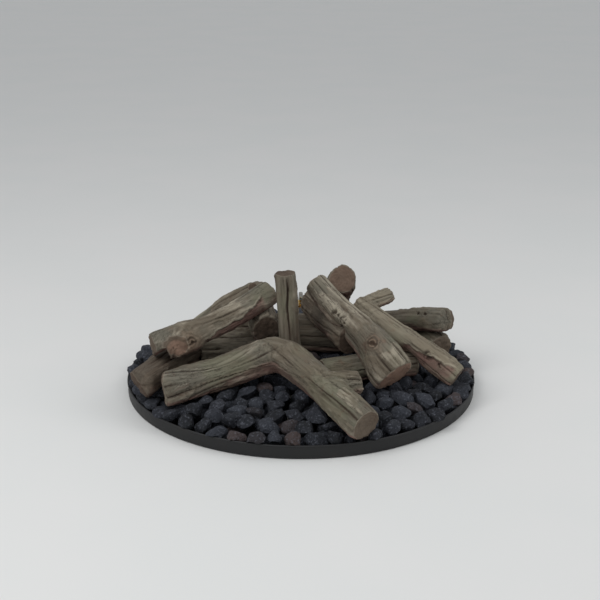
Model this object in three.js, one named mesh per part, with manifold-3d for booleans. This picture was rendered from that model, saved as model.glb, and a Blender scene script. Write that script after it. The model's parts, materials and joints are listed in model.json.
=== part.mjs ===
// A gas log set for a round outdoor fire pit: cast logs stacked campfire fashion on a bed of lava rock,
// in a low steel pan that holds a double ring burner. The gas inlet, with its air mixer, orifice and
// shut-off valve, leaves the pan through the rear wall. Lengths are in millimetres and +Z is up. +Y points
// to the rear, and the origin is the centre of the pan's underside.

import * as THREE from "three";
import { mergeVertices } from "three/addons/utils/BufferGeometryUtils.js";
import Module from "manifold-3d";

const wasm = await Module();
wasm.setup();

// Shared fits and finishes
const fitGap = 0.3;
const runningGap = 0.4;
const cutOverrun = 4;
const fullTurn = 2 * Math.PI;
const quarterTurn = Math.PI / 2;

// Lava rock bed, with depths and heights of its stones as shares of a stone's height or width
const bedOverhang = 5;
const bedCrown = 66;
const bedSkirt = 40;
const bedFalloff = 4;
const stoneWidth = 46;
const stoneHeight = 30;
const stonePitch = 48;
const tierSplitRadius = 224;
const innerTierHole = 12;
const outerSectorCount = 6;
const innerSectorCount = 3;
const sectorSlit = 0.6;
const jointDepthShares = [0, 0.28, 0.62];
const shoulderShare = 0.42;
const shoulderRiseShare = 0.75;
const stoneWanderShare = 0.5;
const stoneUnevenShare = 0.25;

// Pan
const panRadius = 368;
const panHeight = 28;
const panSheet = 1.5;
const rimBeadRadius = 2;
const panCornerRadius = 3.5;
const panSegments = 32;
const drainHoleRadius = 5;
const drainCount = 6;
const drainCircleShare = 0.78;

// Ring burner
const burnerTubeRadius = 7;
const burnerTubeWall = 1.2;
const outerRingRadius = 215;
const innerRingRadius = 108;
const burnerHeight = 13.5;
const hubRadius = 24;
const hubHeight = 14;
const hubWall = 1.5;
const spokeCount = 4;
const portRadius = 1.6;
const outerPortCount = 14;
const innerPortCount = 8;
const outerRingSegments = 28;
const innerRingSegments = 14;
const tubeSides = 8;
const burnerClearance = 1;

// Burner legs, on studs that are welded to the pan
const legCount = 4;
const legWidth = 14;
const legSheet = 1.5;
const legFootLength = 18;
const legStudOffset = 12;
const studRadius = 2;
const studLength = 8;
const legNutAcrossFlats = 7;
const legNutHeight = 3.2;

// Inlet through the rear wall
const bulkheadNutAcrossFlats = 20;
const innerNutLength = 5;
const outerNutLength = 6;
const gasketRadius = 10.2;
const gasketThickness = 2;

// Air mixer, shutter and orifice
const mixerRadius = 10;
const mixerLength = 40;
const mixerSocketDepth = 11;
const mixerEndWall = 7;
const windowCount = 4;
const windowWidth = 7;
const windowLength = 13;
const windowInset = 3;
const shutterWall = 1.4;
const shutterOverlap = 3;
const shutterScrewRadius = 1.4;
const shutterScrewHeadRadius = 3.2;
const shutterScrewHeadHeight = 2.6;
const orificeNoseRadius = 4.2;
const orificeHexAcrossFlats = 14;
const orificeHexLength = 6;
const orificeNoseStep = 2;
const orificeTailLength = 6;
const orificeFeedRadius = 2.5;
const orificeJetRadius = 0.9;
const orificeJetLength = 3;
const turnedSides = 12;

// Shut-off valve and inlet fitting
const valveBodyRadius = 12.5;
const valveFrontLength = 12;
const valveFrontRadius = 9.5;
const valveTailRadius = 4.5;
const valvePortRadius = 4;
const ballRadius = 8;
const seatBack = 2.2;
const seatLipRadius = 4.6;
const capPlugLength = 9;
const capFlangeLength = 5;
const stemRadius = 2.6;
const stemTangWidth = 2.4;
const stemTangDepth = 2;
const bonnetRadius = 6;
const bonnetRise = 5;
const packingNutAcrossFlats = 11;
const packingNutHeight = 4.5;
const leverLength = 52;
const leverWidth = 12;
const leverSheet = 2;
const leverNutAcrossFlats = 8;
const leverNutHeight = 3;
const stemEndStep = 1;
const fittingHexAcrossFlats = 17;
const fittingHexLength = 7;
const fittingThreadRadius = 6.6;
const fittingThreadLength = 13;
const fittingNoseLength = 3;
const fittingNoseRadius = 5.2;
const fittingBoreRadius = 3;
const fittingTailLength = 6;

// How the logs sit
const logRadius = 40;
const beddingShare = 0.225;
const seatDepth = 3.5;
const stackAllowance = 300;
const settlePasses = 30;
const beadCount = 40;
const restReachShare = 0.12;

// Bark, in shares of a log's radius: ridges as [turns around, waves along, rise]
const logFacetLength = 30;
const minimumLogSteps = 3;
const logSides = 12;
const branchSides = 8;
const sawnBevel = 5;
const bevelDropShare = 0.7;
const knotShare = 0.5;
const steepPitch = 50;
const barkWaveShares = [[2, 9, 0.035], [3, 5, 0.04], [5, -7, 0.03]];

// Fineness of small round forms, and how stones scatter
const boltSides = 8;
const portSides = 5;
const boreSides = 6;
const arcSteps = 4;
const beadSteps = 5;
const seatSteps = 2;
const seatReachShare = 0.9;
const tangLengthShare = 1.6;
const leverTipShare = 0.8;

const outerSectorNames = [
  "lava_bed_right_rear",
  "lava_bed_rear",
  "lava_bed_left_rear",
  "lava_bed_left_front",
  "lava_bed_front",
  "lava_bed_right_front",
];
const innerSectorNames = ["lava_bed_inner_right", "lava_bed_inner_left", "lava_bed_inner_front"];

// Logs. End points are shares of the bed's radius, and bends are shares of the log's own length: along it,
// to its left and up. Butts, tips, branch lengths and bedding are shares of a full log's radius. restsOn
// names what carries the first and the second end. Knots and bark ridges are shares of the log's length,
// turn and radius.
const logTable = [
  {
    name: "front_forked_log",
    buttShare: 0.85,
    tipShare: 0.825,
    endShares: [[-0.732, -0.569], [0.326, -0.939]],
    bendShares: [[0.213, 0.201, 0.045], [0.468, 0.307, 0.14], [0.63, 0.247, 0.1]],
    restsOn: ["bed", "bed"],
    restShares: [0.06, 0.95],
    beddingShare: 0.3,
    knotShares: [[0.3, 0.62, 0.1, 0.5], [0.52, 0, 0.14, 0.35]],
    branches: [{ alongShare: 0.73, heading: 18, pitch: -2, lengthShare: 1.875, buttShare: 0.825, tipShare: 0.625 }],
  },
  {
    name: "left_base_log",
    buttShare: 0.775,
    tipShare: 0.725,
    endShares: [[-0.858, -0.502], [-0.53, 0.06]],
    bendShares: [[0.5, 0.03, 0.01]],
    restsOn: ["bed", "bed"],
    restShares: [0.2, 0.9],
    beddingShare: 0.05,
    knotShares: [],
  },
  {
    name: "left_inner_log",
    buttShare: 0.85,
    tipShare: 0.825,
    endShares: [[-0.577, -0.039], [-0.153, -0.021]],
    bendShares: [[0.5, 0.03, 0.02]],
    restsOn: ["bed", "bed"],
    restShares: [0.1, 0.9],
    knotShares: [[0.93, 0.3, 0.12, 0.5]],
  },
  {
    name: "right_base_log",
    buttShare: 0.675,
    tipShare: 0.65,
    endShares: [[0.112, -0.38], [0.628, -0.209]],
    bendShares: [[0.507, -0.022, 0.02]],
    restsOn: ["bed", "bed"],
    restShares: [0.1, 0.9],
    knotShares: [[0.9, 0.25, 0.15, 0.5]],
  },
  {
    name: "rear_base_log",
    buttShare: 1.05,
    tipShare: 0.95,
    endShares: [[-0.42, 0.12], [0.42, 0.1]],
    bendShares: [[0.4, 0.03, 0]],
    restsOn: ["bed", "bed"],
    restShares: [0.1, 0.9],
    knotShares: [[0.7, 0.9, 0.1, 0.4]],
  },
  {
    name: "rear_right_base_log",
    buttShare: 0.675,
    tipShare: 0.625,
    endShares: [[0.806, 0.066], [0.629, 0.5]],
    bendShares: [[0.5, -0.03, 0.01]],
    restsOn: ["bed", "bed"],
    restShares: [0.1, 0.9],
    knotShares: [],
  },
  {
    name: "left_cross_log",
    buttShare: 0.775,
    tipShare: 0.7,
    endShares: [[-0.191, -0.146], [-0.26, 0.3]],
    bendShares: [[0.5, 0.03, 0.02]],
    restsOn: ["left_inner_log", "rear_base_log"],
    restShares: [0.3, 0.8],
    knotShares: [],
  },
  {
    name: "centre_cross_log",
    buttShare: 0.9,
    tipShare: 0.85,
    endShares: [[0.28, -0.29], [0.08, 0.15]],
    bendShares: [[0.5, 0.02, 0.02]],
    restsOn: ["right_base_log", "rear_base_log"],
    restShares: [0.06, 0.8],
    knotShares: [],
  },
  {
    name: "left_knotted_log",
    buttShare: 0.7,
    tipShare: 0.7,
    endShares: [[-0.798, -0.365], [-0.16, -0.074]],
    bendShares: [[0.3, -0.01, -0.045], [0.62, -0.01, -0.07]],
    restsOn: ["left_base_log", "left_cross_log"],
    restShares: [0.08, 0.93],
    swellShares: [[0.25, 0.25, 0.16], [0.62, -0.12, 0.22]],
    knotShares: [[0.55, 0.02, 0.1, 0.5]],
    branches: [{ alongShare: 0.23, heading: -100, pitch: -4, lengthShare: 0.95, buttShare: 0.825, tipShare: 0.625 }],
  },
  {
    name: "right_knotted_log",
    buttShare: 0.975,
    tipShare: 0.6,
    endShares: [[0.508, -0.478], [0.075, -0.094]],
    bendShares: [[0.3, -0.02, 0.01], [0.65, 0.015, 0]],
    restsOn: ["bed", "centre_cross_log"],
    restShares: [0.1, 0.9],
    swellShares: [[0.15, 0.05, 0.2], [0.68, -0.14, 0.22]],
    knotShares: [[0.22, 0.93, 0.2, 0.45], [0.6, 0.16, 0.14, 0.5], [0.05, 0.7, 0.12, 0.4]],
  },
  {
    name: "right_forked_log",
    buttShare: 0.65,
    tipShare: 0.575,
    endShares: [[0.853, -0.331], [0.301, -0.066]],
    bendShares: [[0.512, 0.016, 0.02]],
    restsOn: ["bed", "centre_cross_log"],
    restShares: [0.1, 0.9],
    knotShares: [[0.2, 0.2, 0.14, 0.5]],
    branches: [{ alongShare: 0.95, heading: 31, pitch: 12, lengthShare: 1.975, buttShare: 0.45, tipShare: 0.4 }],
  },
  {
    name: "rear_left_log",
    buttShare: 0.5,
    tipShare: 0.475,
    endShares: [[-0.667, 0.28], [-0.262, 0.004]],
    bendShares: [[0.5, 0.02, 0.02]],
    restsOn: ["bed", "left_cross_log"],
    restShares: [0.06, 0.95],
    knotShares: [[0.6, 0.1, 0.14, 0.5]],
  },
  {
    name: "top_log",
    buttShare: 0.8,
    tipShare: 0.75,
    endShares: [[0.235, 0.04], [0.22, 0.62]],
    bendShares: [[0.5, 0.03, 0.02]],
    restsOn: ["centre_cross_log", "bed"],
    restShares: [0.06, 0.95],
    knotShares: [[0.4, 0.7, 0.12, 0.5]],
  },
  {
    name: "rear_right_log",
    buttShare: 0.6,
    tipShare: 0.675,
    endShares: [[0.468, 0.464], [0.833, 0.055]],
    bendShares: [[0.5, 0.01, 0.02]],
    restsOn: ["bed", "rear_right_base_log"],
    restShares: [0.1, 0.8],
    knotShares: [[0.5, 0.2, 0.2, 0.4]],
  },
  {
    name: "upright_log",
    upright: true,
    buttShare: 0.575,
    tipShare: 0.575,
    heightShare: 5.575,
    endShares: [[-0.045, -0.27], [-0.084, -0.269]],
    bendShares: [[0.5, 0.01, 0]],
    knotShares: [[0.5, 0.5, 0.1, 0.4]],
  },
];
const castLogs = new Map();

// Repeatable scatter between 0 and 1.
function scatter(seed, index) {
  const wave = Math.sin(seed * 12.9898 + index * 78.233) * 43758.5453;
  return wave - Math.floor(wave);
}

// A closed geometry as a manifold-3d solid.
function solid(geometry) {
  const bare = geometry.index ? geometry.toNonIndexed() : geometry.clone();
  const welded = mergeVertices(
    new THREE.BufferGeometry().setAttribute("position", bare.getAttribute("position")),
    1e-4,
  );
  const corners = welded.index.array;
  const kept = [];
  for (let i = 0; i < corners.length; i += 3) {
    const [a, b, c] = [corners[i], corners[i + 1], corners[i + 2]];
    if (a !== b && b !== c && c !== a) kept.push(a, b, c);
  }
  return new wasm.Manifold(
    new wasm.Mesh({
      numProp: 3,
      vertProperties: welded.attributes.position.array,
      triVerts: new Uint32Array(kept),
    }),
  );
}

// A manifold-3d solid as a geometry with flat shading.
function geometryOf(shape) {
  const mesh = shape.getMesh();
  const positions = new Float32Array(mesh.numVert * 3);
  for (let i = 0; i < mesh.numVert; i++) {
    positions.set(mesh.vertProperties.subarray(i * mesh.numProp, i * mesh.numProp + 3), i * 3);
  }
  const geometry = new THREE.BufferGeometry()
    .setAttribute("position", new THREE.BufferAttribute(positions, 3))
    .setIndex(new THREE.BufferAttribute(new Uint32Array(mesh.triVerts), 1))
    .toNonIndexed();
  geometry.computeVertexNormals();
  return geometry;
}

// The largest connected piece of a cut solid.
function largestPiece(shape) {
  return shape.decompose().sort((a, b) => b.volume() - a.volume())[0];
}

// A turned solid about Z from [radius, height] corners.
function turned(corners, segments) {
  const profile = corners.map(([radius, height]) => new THREE.Vector2(radius, height));
  return new THREE.LatheGeometry(profile, segments).rotateX(quarterTurn);
}

// A turned ring about Z with a square section.
function turnedRing(innerRadius, outerRadius, low, high, segments) {
  return turned(
    [[innerRadius, low], [outerRadius, low], [outerRadius, high], [innerRadius, high], [innerRadius, low]],
    segments,
  );
}

// A turned rod about Z.
function turnedRod(radius, low, high, segments) {
  return turned([[0, low], [radius, low], [radius, high], [0, high]], segments);
}

// A box with its centre at a point.
function block(x, y, z, centre = [0, 0, 0]) {
  return new THREE.BoxGeometry(x, y, z).translate(...centre);
}

// A hexagonal prism about Z with a round hole.
function hexNut(acrossFlats, holeRadius, low, high) {
  const cornerRadius = acrossFlats / Math.sqrt(3);
  const outline = new THREE.Shape();
  for (let i = 0; i < 6; i++) {
    const angle = (i * fullTurn) / 6;
    const corner = [cornerRadius * Math.cos(angle), cornerRadius * Math.sin(angle)];
    if (i === 0) outline.moveTo(...corner);
    else outline.lineTo(...corner);
  }
  outline.closePath();
  if (holeRadius > 0) {
    outline.holes.push(new THREE.Path().absarc(0, 0, holeRadius, 0, fullTurn, true));
  }
  return new THREE.ExtrudeGeometry(outline, {
    depth: high - low,
    bevelEnabled: false,
    curveSegments: arcSteps,
  }).translate(0, 0, low);
}

// Derived places of the bed, the pan and the legs
const bedRadius = panRadius + bedOverhang;
const panWallMid = panRadius - rimBeadRadius;
const panWallOuter = panWallMid + panSheet / 2;
const panWallInner = panWallMid - panSheet / 2;
const panBeadInner = panWallMid - rimBeadRadius;
const panSegmentAngle = fullTurn / panSegments;
const circumShare = 1 / Math.cos(panSegmentAngle / 2);
const gasLineSector = Math.floor((quarterTurn * outerSectorCount) / fullTurn);
const legRingRadius = outerRingRadius * Math.cos(fullTurn / outerRingSegments / 2);
const legStudRadius = legRingRadius + legStudOffset;

// Derived places along the gas line, measured to the rear from the pan's centre
const nutCornerRadius = bulkheadNutAcrossFlats / Math.sqrt(3);
const wallFallAtNut = nutCornerRadius * Math.tan(panSegmentAngle / 2);
const innerNutEnd = panWallInner - wallFallAtNut - fitGap;
const gasketStart = panWallOuter + fitGap;
const outerNutStart = gasketStart + gasketThickness + fitGap;
const mixerStart = outerNutStart + outerNutLength + fitGap;
const mixerEnd = mixerStart + mixerLength;
const chamberEnd = mixerEnd - mixerEndWall;
const inletEnd = mixerStart + mixerSocketDepth;
const windowStart = inletEnd + windowInset;
const shutterStart = windowStart - shutterOverlap;
const shutterEnd = windowStart + windowLength + shutterOverlap;
const shutterRadius = mixerRadius + runningGap + shutterWall;
const orificeHexStart = mixerEnd + fitGap;
const valveStart = orificeHexStart + orificeHexLength + fitGap;
const cavityRadius = ballRadius + runningGap + 2 * fitGap;
const seatReach = ballRadius + seatBack;
const valveWall = valveBodyRadius - cavityRadius;
const barrelStart = valveStart + valveFrontLength;
const cavityStart = barrelStart + valveWall;
const ballCentre = cavityStart + fitGap + seatReach;
const capStart = ballCentre + seatReach + fitGap;
const barrelEnd = capStart + capPlugLength;
const capFlangeStart = barrelEnd + fitGap;
const capEnd = capFlangeStart + capFlangeLength;
const fittingHexStart = capEnd + fitGap;
const fittingThreadStart = fittingHexStart + fittingHexLength;
const fittingNoseStart = fittingThreadStart + fittingThreadLength;
const fittingEnd = fittingNoseStart + fittingNoseLength;

// Derived heights of the valve's stem above the gas line
const stemStart = ballRadius + runningGap;
const bonnetTop = valveBodyRadius + bonnetRise;
const packingNutLow = bonnetTop + fitGap;
const leverLow = packingNutLow + packingNutHeight + runningGap;
const leverNutLow = leverLow + leverSheet + fitGap;
const leverNutHigh = leverNutLow + leverNutHeight;
const stemEndRadius = stemRadius - stemEndStep;

// The height of the stones' tops, crowned towards the middle of the bed.
function bedTop(radius) {
  return bedCrown - (bedCrown - bedSkirt) * Math.min(1, radius / bedRadius) ** bedFalloff;
}

// A log's centreline for the heights of its two ends.
function logCentreline(log, heights) {
  const [start, end] = log.endShares.map(
    ([x, y], i) => new THREE.Vector3(x * bedRadius, y * bedRadius, heights[i]),
  );
  const along = end.clone().sub(start);
  const length = along.length();
  const left = new THREE.Vector3(-along.y, along.x, 0).normalize();
  const bends = log.bendShares.map(([alongShare, leftShare, upShare]) => {
    const point = start.clone().addScaledVector(along, alongShare);
    point.addScaledVector(left, leftShare * length);
    point.z += upShare * length;
    return point;
  });
  return new THREE.CatmullRomCurve3([start, ...bends, end], false, "centripetal");
}

// Beads along a centreline, as { share, point, radius }, that stand for the log while it is seated.
function logBeads(log, curve) {
  const shares = Array.from({ length: beadCount + 1 }, (unused, i) => i / beadCount);
  return shares.map((share) => ({
    share,
    point: curve.getPointAt(share),
    radius: THREE.MathUtils.lerp(log.buttShare, log.tipShare, share) * logRadius,
  }));
}

// How far a log's beads near one resting place stand above the bed and above the log that carries them.
function seatGap(beads, log, end) {
  const support = castLogs.get(log.restsOn[end]);
  const near = beads.filter((bead) => Math.abs(bead.share - log.restShares[end]) <= restReachShare);
  let gap = Infinity;
  for (const { point, radius } of near) {
    const low = point.z - radius + (log.beddingShare ?? beddingShare) * logRadius;
    gap = Math.min(gap, low - bedTop(Math.hypot(point.x, point.y)));
    if (!support) continue;
    for (const other of support.beads) {
      const reach = radius + other.radius - seatDepth;
      const across = Math.hypot(point.x - other.point.x, point.y - other.point.y);
      if (across >= reach) continue;
      gap = Math.min(gap, point.z - other.point.z - Math.sqrt(reach * reach - across * across));
    }
  }
  return gap;
}

// The heights of a log's ends at which it lies on its two supports.
function settle(log) {
  if (log.upright) {
    const [x, y] = log.endShares[0];
    const foot = bedTop(Math.hypot(x, y) * bedRadius) - beddingShare * logRadius;
    return [foot, foot + log.heightShare * logRadius];
  }
  let heights = [bedCrown + stackAllowance, bedCrown + stackAllowance];
  for (let pass = 0; pass < settlePasses; pass++) {
    const beads = logBeads(log, logCentreline(log, heights));
    const gaps = [0, 1].map((end) => seatGap(beads, log, end));
    if (!gaps.every(Number.isFinite)) throw new Error(`${log.name} misses what carries it`);
    const [first, second] = log.restShares;
    const tilt = (gaps[1] - gaps[0]) / (second - first);
    const startDrop = gaps[0] - tilt * first;
    heights = [heights[0] - startDrop, heights[1] - startDrop - tilt];
  }
  return heights;
}

// A closed skin over rings of points, with a fan on each end.
function skinRings(rings) {
  const sides = rings[0].length;
  const positions = rings.flat().flatMap((point) => point.toArray());
  const triangles = [];
  for (let i = 0; i + 1 < rings.length; i++) {
    for (let j = 0; j < sides; j++) {
      const k = (j + 1) % sides;
      const [a, b, c, d] = [i * sides + j, i * sides + k, (i + 1) * sides + k, (i + 1) * sides + j];
      triangles.push(a, b, c, a, c, d);
    }
  }
  for (const i of [0, rings.length - 1]) {
    const middle = positions.length / 3;
    const centre = rings[i].reduce((sum, point) => sum.add(point), new THREE.Vector3());
    positions.push(...centre.divideScalar(sides).toArray());
    for (let j = 0; j < sides; j++) {
      const pair = [i * sides + j, i * sides + ((j + 1) % sides)];
      triangles.push(middle, ...(i === 0 ? pair.reverse() : pair));
    }
  }
  return new THREE.BufferGeometry()
    .setAttribute("position", new THREE.Float32BufferAttribute(positions, 3))
    .setIndex(triangles);
}

// The rise of bark ridges and knots over a log's plain radius, as a share of that radius.
function barkRise(log, share, turnShare) {
  const angle = turnShare * fullTurn;
  let rise = 0;
  barkWaveShares.forEach(([around, along, size], i) => {
    rise += size * Math.sin(around * angle + along * share + (i + 1) * log.seed);
  });
  for (const [alongShare, swellRise, spreadShare] of log.swellShares ?? []) {
    const distance = (share - alongShare) / spreadShare;
    rise += swellRise * Math.exp(-distance * distance);
  }
  for (const [alongShare, knotTurnShare, sizeShare, heightShare] of log.knotShares ?? []) {
    const across = Math.abs(turnShare - knotTurnShare);
    const around = Math.min(across, 1 - across);
    const distance = Math.hypot(share - alongShare, around) / sizeShare;
    rise += heightShare * knotShare * Math.exp(-distance * distance);
  }
  return rise;
}

// A length of log or branch along a curve, sawn square at both ends. Growth swells it all round.
function barkLength(log, curve, sides, growth) {
  const length = curve.getLength();
  const steps = Math.max(minimumLogSteps, Math.round(length / logFacetLength));
  const bevelShare = sawnBevel / length;
  const stations = Array.from({ length: steps + 1 }, (unused, i) => i / steps);
  stations.splice(1, 0, bevelShare);
  stations.splice(stations.length - 1, 0, 1 - bevelShare);
  const reference = log.upright ? new THREE.Vector3(0, 1, 0) : new THREE.Vector3(0, 0, 1);
  const rings = stations.map((share) => {
    const tangent = curve.getTangentAt(share);
    const side = tangent.clone().cross(reference).normalize();
    const up = side.clone().cross(tangent);
    const atEnd = share === 0 || share === 1;
    const centre = curve.getPointAt(share);
    if (atEnd) centre.addScaledVector(tangent, share === 0 ? -growth : growth);
    const plain = THREE.MathUtils.lerp(log.buttShare, log.tipShare, share) * logRadius;
    return Array.from({ length: sides }, (unused, i) => {
      const turnShare = i / sides;
      const rise = 1 + barkRise(log, share, turnShare);
      const radius = (plain - (atEnd ? sawnBevel * bevelDropShare : 0)) * rise + growth;
      const across = side.clone().multiplyScalar(Math.sin(turnShare * fullTurn) * radius);
      return across.addScaledVector(up, Math.cos(turnShare * fullTurn) * radius).add(centre);
    });
  });
  return solid(skinRings(rings));
}

// A cut branch that leaves a log at a heading in plan and a pitch above level.
function cutBranch(log, branch, curve, growth) {
  const heading = THREE.MathUtils.degToRad(branch.heading);
  const pitch = THREE.MathUtils.degToRad(branch.pitch);
  const aim = new THREE.Vector3(
    Math.cos(heading) * Math.cos(pitch),
    Math.sin(heading) * Math.cos(pitch),
    Math.sin(pitch),
  );
  const root = curve.getPointAt(branch.alongShare);
  const tip = root.clone().addScaledVector(aim, branch.lengthShare * logRadius);
  const limb = { ...branch, seed: log.seed + 1, upright: Math.abs(branch.pitch) > steepPitch };
  return barkLength(limb, new THREE.LineCurve3(root, tip), branchSides, growth);
}

// The whole log before what carries it is cut from its underside.
function uncutLog(log, curve, growth) {
  const trunk = barkLength(log, curve, logSides, growth);
  const branches = (log.branches ?? []).map((branch) => cutBranch(log, branch, curve, growth));
  return wasm.Manifold.union([trunk, ...branches]);
}

// True where the boxes of two solids meet.
function boxesMeet(one, other) {
  const [a, b] = [one.boundingBox(), other.boundingBox()];
  return [0, 1, 2].every((axis) => a.min[axis] < b.max[axis] && b.min[axis] < a.max[axis]);
}

// Every log in its seat. Each is cut to fit the logs under it, so it drops into place one way only.
function castLogSet() {
  logTable.forEach((entry, i) => {
    const log = { ...entry, seed: i + 1 };
    const curve = logCentreline(log, settle(log));
    let shape = uncutLog(log, curve, 0);
    for (const lower of castLogs.values()) {
      if (boxesMeet(shape, lower.envelope)) shape = shape.subtract(lower.envelope);
    }
    const envelope = uncutLog(log, curve, fitGap);
    castLogs.set(log.name, { beads: logBeads(log, curve), shape: largestPiece(shape), envelope });
  });
}

// One point of a sector's grid of stones. Odd rows and columns cross the stones' crowns, and even ones
// run along the joints between them.
function stonePoint(grid, row, column) {
  const { radii, angles, rows, columns, outerTier, seed } = grid;
  const place = row * columns + column;
  const wander = (index, limit, offset) =>
    index > 0 && index < limit ? stoneWanderShare * (scatter(seed, offset + place) - 0.5) : 0;
  const rowShare = (row + wander(row, rows, 1)) / rows;
  const columnShare = (column + wander(column, columns, 2)) / columns;
  let radius = THREE.MathUtils.lerp(radii[1], radii[0], rowShare);
  const side = column === 0 ? 1 : column === columns ? -1 : 0;
  const slitAngle = Math.asin(sectorSlit / 2 / radius);
  const angle = THREE.MathUtils.lerp(...angles, columnShare) + side * slitAngle;
  const joints = (row % 2 === 0) + (column % 2 === 0);
  let height = bedTop(radius) - stoneHeight * jointDepthShares[joints];
  if (joints < 2) height += stoneHeight * stoneUnevenShare * (scatter(seed, 3 + place) - 0.5);
  if (outerTier && row === 0) {
    radius -= column % 2 === 0 ? stoneWidth * jointDepthShares[1] : 0;
    height = bedSkirt * jointDepthShares[2];
  }
  return new THREE.Vector3(radius * Math.cos(angle), radius * Math.sin(angle), height);
}

// A sector of close-packed stones as one closed solid that stands on the floor.
function stoneSheet(grid) {
  const { rows, columns, outerTier } = grid;
  const points = [];
  const triangles = [];
  const addPoint = (point) => points.push(point) - 1;
  const net = Array.from({ length: rows + 1 }, (unusedRow, row) =>
    Array.from({ length: columns + 1 }, (unused, column) => addPoint(stonePoint(grid, row, column))),
  );
  for (let row = 0; row < rows; row += 2) {
    for (let column = 0; column < columns; column += 2) {
      const crown = net[row + 1][column + 1];
      const corners = [[0, 0], [0, 2], [2, 2], [2, 0]].map(([down, over]) => net[row + down][column + over]);
      const edges = [[0, 1], [1, 2], [2, 1], [1, 0]].map(([down, over]) => net[row + down][column + over]);
      const shoulders = edges.map((edge) => {
        const point = points[edge].clone().lerp(points[crown], shoulderShare);
        point.z = THREE.MathUtils.lerp(points[edge].z, points[crown].z, shoulderRiseShare);
        return addPoint(point);
      });
      for (let i = 0; i < 4; i++) {
        const next = (i + 1) % 4;
        triangles.push(corners[i], edges[i], shoulders[i], edges[i], corners[next], shoulders[i]);
        triangles.push(corners[next], shoulders[next], shoulders[i], shoulders[i], shoulders[next], crown);
      }
    }
  }
  const rim = [
    ...net[0],
    ...net.slice(1, rows).map((line) => line[columns]),
    ...[...net[rows]].reverse(),
    ...net.slice(1, rows).map((line) => line[0]).reverse(),
  ];
  const tuck = 1 - (stoneWidth * jointDepthShares[1]) / bedRadius;
  const floor = rim.map((index, i) => {
    const point = points[index].clone();
    if (outerTier && i > 0 && i < columns) point.multiplyScalar(tuck);
    return addPoint(point.setZ(fitGap));
  });
  rim.forEach((index, i) => {
    const next = (i + 1) % rim.length;
    triangles.push(rim[next], index, floor[i], rim[next], floor[i], floor[next]);
  });
  const outline = floor.map((index) => new THREE.Vector2(points[index].x, points[index].y));
  for (const [i, j, k] of THREE.ShapeUtils.triangulateShape(outline, [])) {
    triangles.push(floor[k], floor[j], floor[i]);
  }
  const positions = points.flatMap((point) => point.toArray());
  return solid(
    new THREE.BufferGeometry()
      .setAttribute("position", new THREE.Float32BufferAttribute(positions, 3))
      .setIndex(triangles),
  );
}

// The room under the stones. On the inner tier they lie over the burner's tubes. On the outer tier they
// also clear the burner's legs, fill the pan to its floor, and lie over its rim.
function underRoom(outerTier) {
  const overBurner = burnerHeight + burnerTubeRadius + fitGap;
  if (!outerTier) return solid(turnedRod(panRadius, 0, overBurner, panSegments));
  const legClear = (legRingRadius + legFootLength + burnerClearance) * circumShare;
  const [inside, outside] = [panWallOuter - panCornerRadius - fitGap, bedRadius + stoneWidth];
  const [overFloor, overRim] = [panSheet + fitGap, panHeight + fitGap];
  const profile = [[0, 0], [outside, 0], [outside, overRim], [inside, overRim], [inside, overFloor]];
  profile.push([legClear, overFloor], [legClear, overBurner], [0, overBurner]);
  return solid(turned(profile, panSegments));
}

// The room that the gas line and its inner nut need between the stones inside the pan's wall.
function gasLineRoom() {
  const half = burnerTubeRadius + burnerClearance;
  const nutHalf = nutCornerRadius + burnerClearance;
  const nutRoomStart = innerNutEnd - innerNutLength - burnerClearance;
  return wasm.Manifold.union([
    boxAlongY(half, outerRingRadius, nutRoomStart, burnerHeight + half),
    boxAlongY(nutHalf, nutRoomStart, panRadius, burnerHeight + nutHalf),
  ]);
}

// A box on the floor over the gas line, from one distance to another behind the pan's centre.
function boxAlongY(halfWidth, start, end, high) {
  return solid(block(2 * halfWidth, end - start, high, [0, (start + end) / 2, high / 2]));
}

// One sector of the lava bed. Its stones are fused, and they hide the pan's rim.
function bedSector(outerTier, index) {
  const sectorCount = outerTier ? outerSectorCount : innerSectorCount;
  const sectorAngle = fullTurn / sectorCount;
  const halfSlit = sectorSlit / 2;
  const radii = outerTier
    ? [tierSplitRadius + halfSlit, bedRadius]
    : [innerTierHole, tierSplitRadius - halfSlit];
  const middle = (radii[0] + radii[1]) / 2;
  const grid = {
    radii,
    angles: [index * sectorAngle, (index + 1) * sectorAngle],
    rows: 2 * Math.round((radii[1] - radii[0]) / stonePitch),
    columns: 2 * Math.round((sectorAngle * middle) / stonePitch),
    outerTier,
    seed: 1 + index + (outerTier ? 0 : outerSectorCount),
  };
  let mass = stoneSheet(grid).subtract(underRoom(outerTier));
  if (outerTier && index === gasLineSector) mass = mass.subtract(gasLineRoom());
  for (const { envelope } of castLogs.values()) {
    if (boxesMeet(mass, envelope)) mass = mass.subtract(envelope);
  }
  return geometryOf(largestPiece(mass));
}

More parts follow.
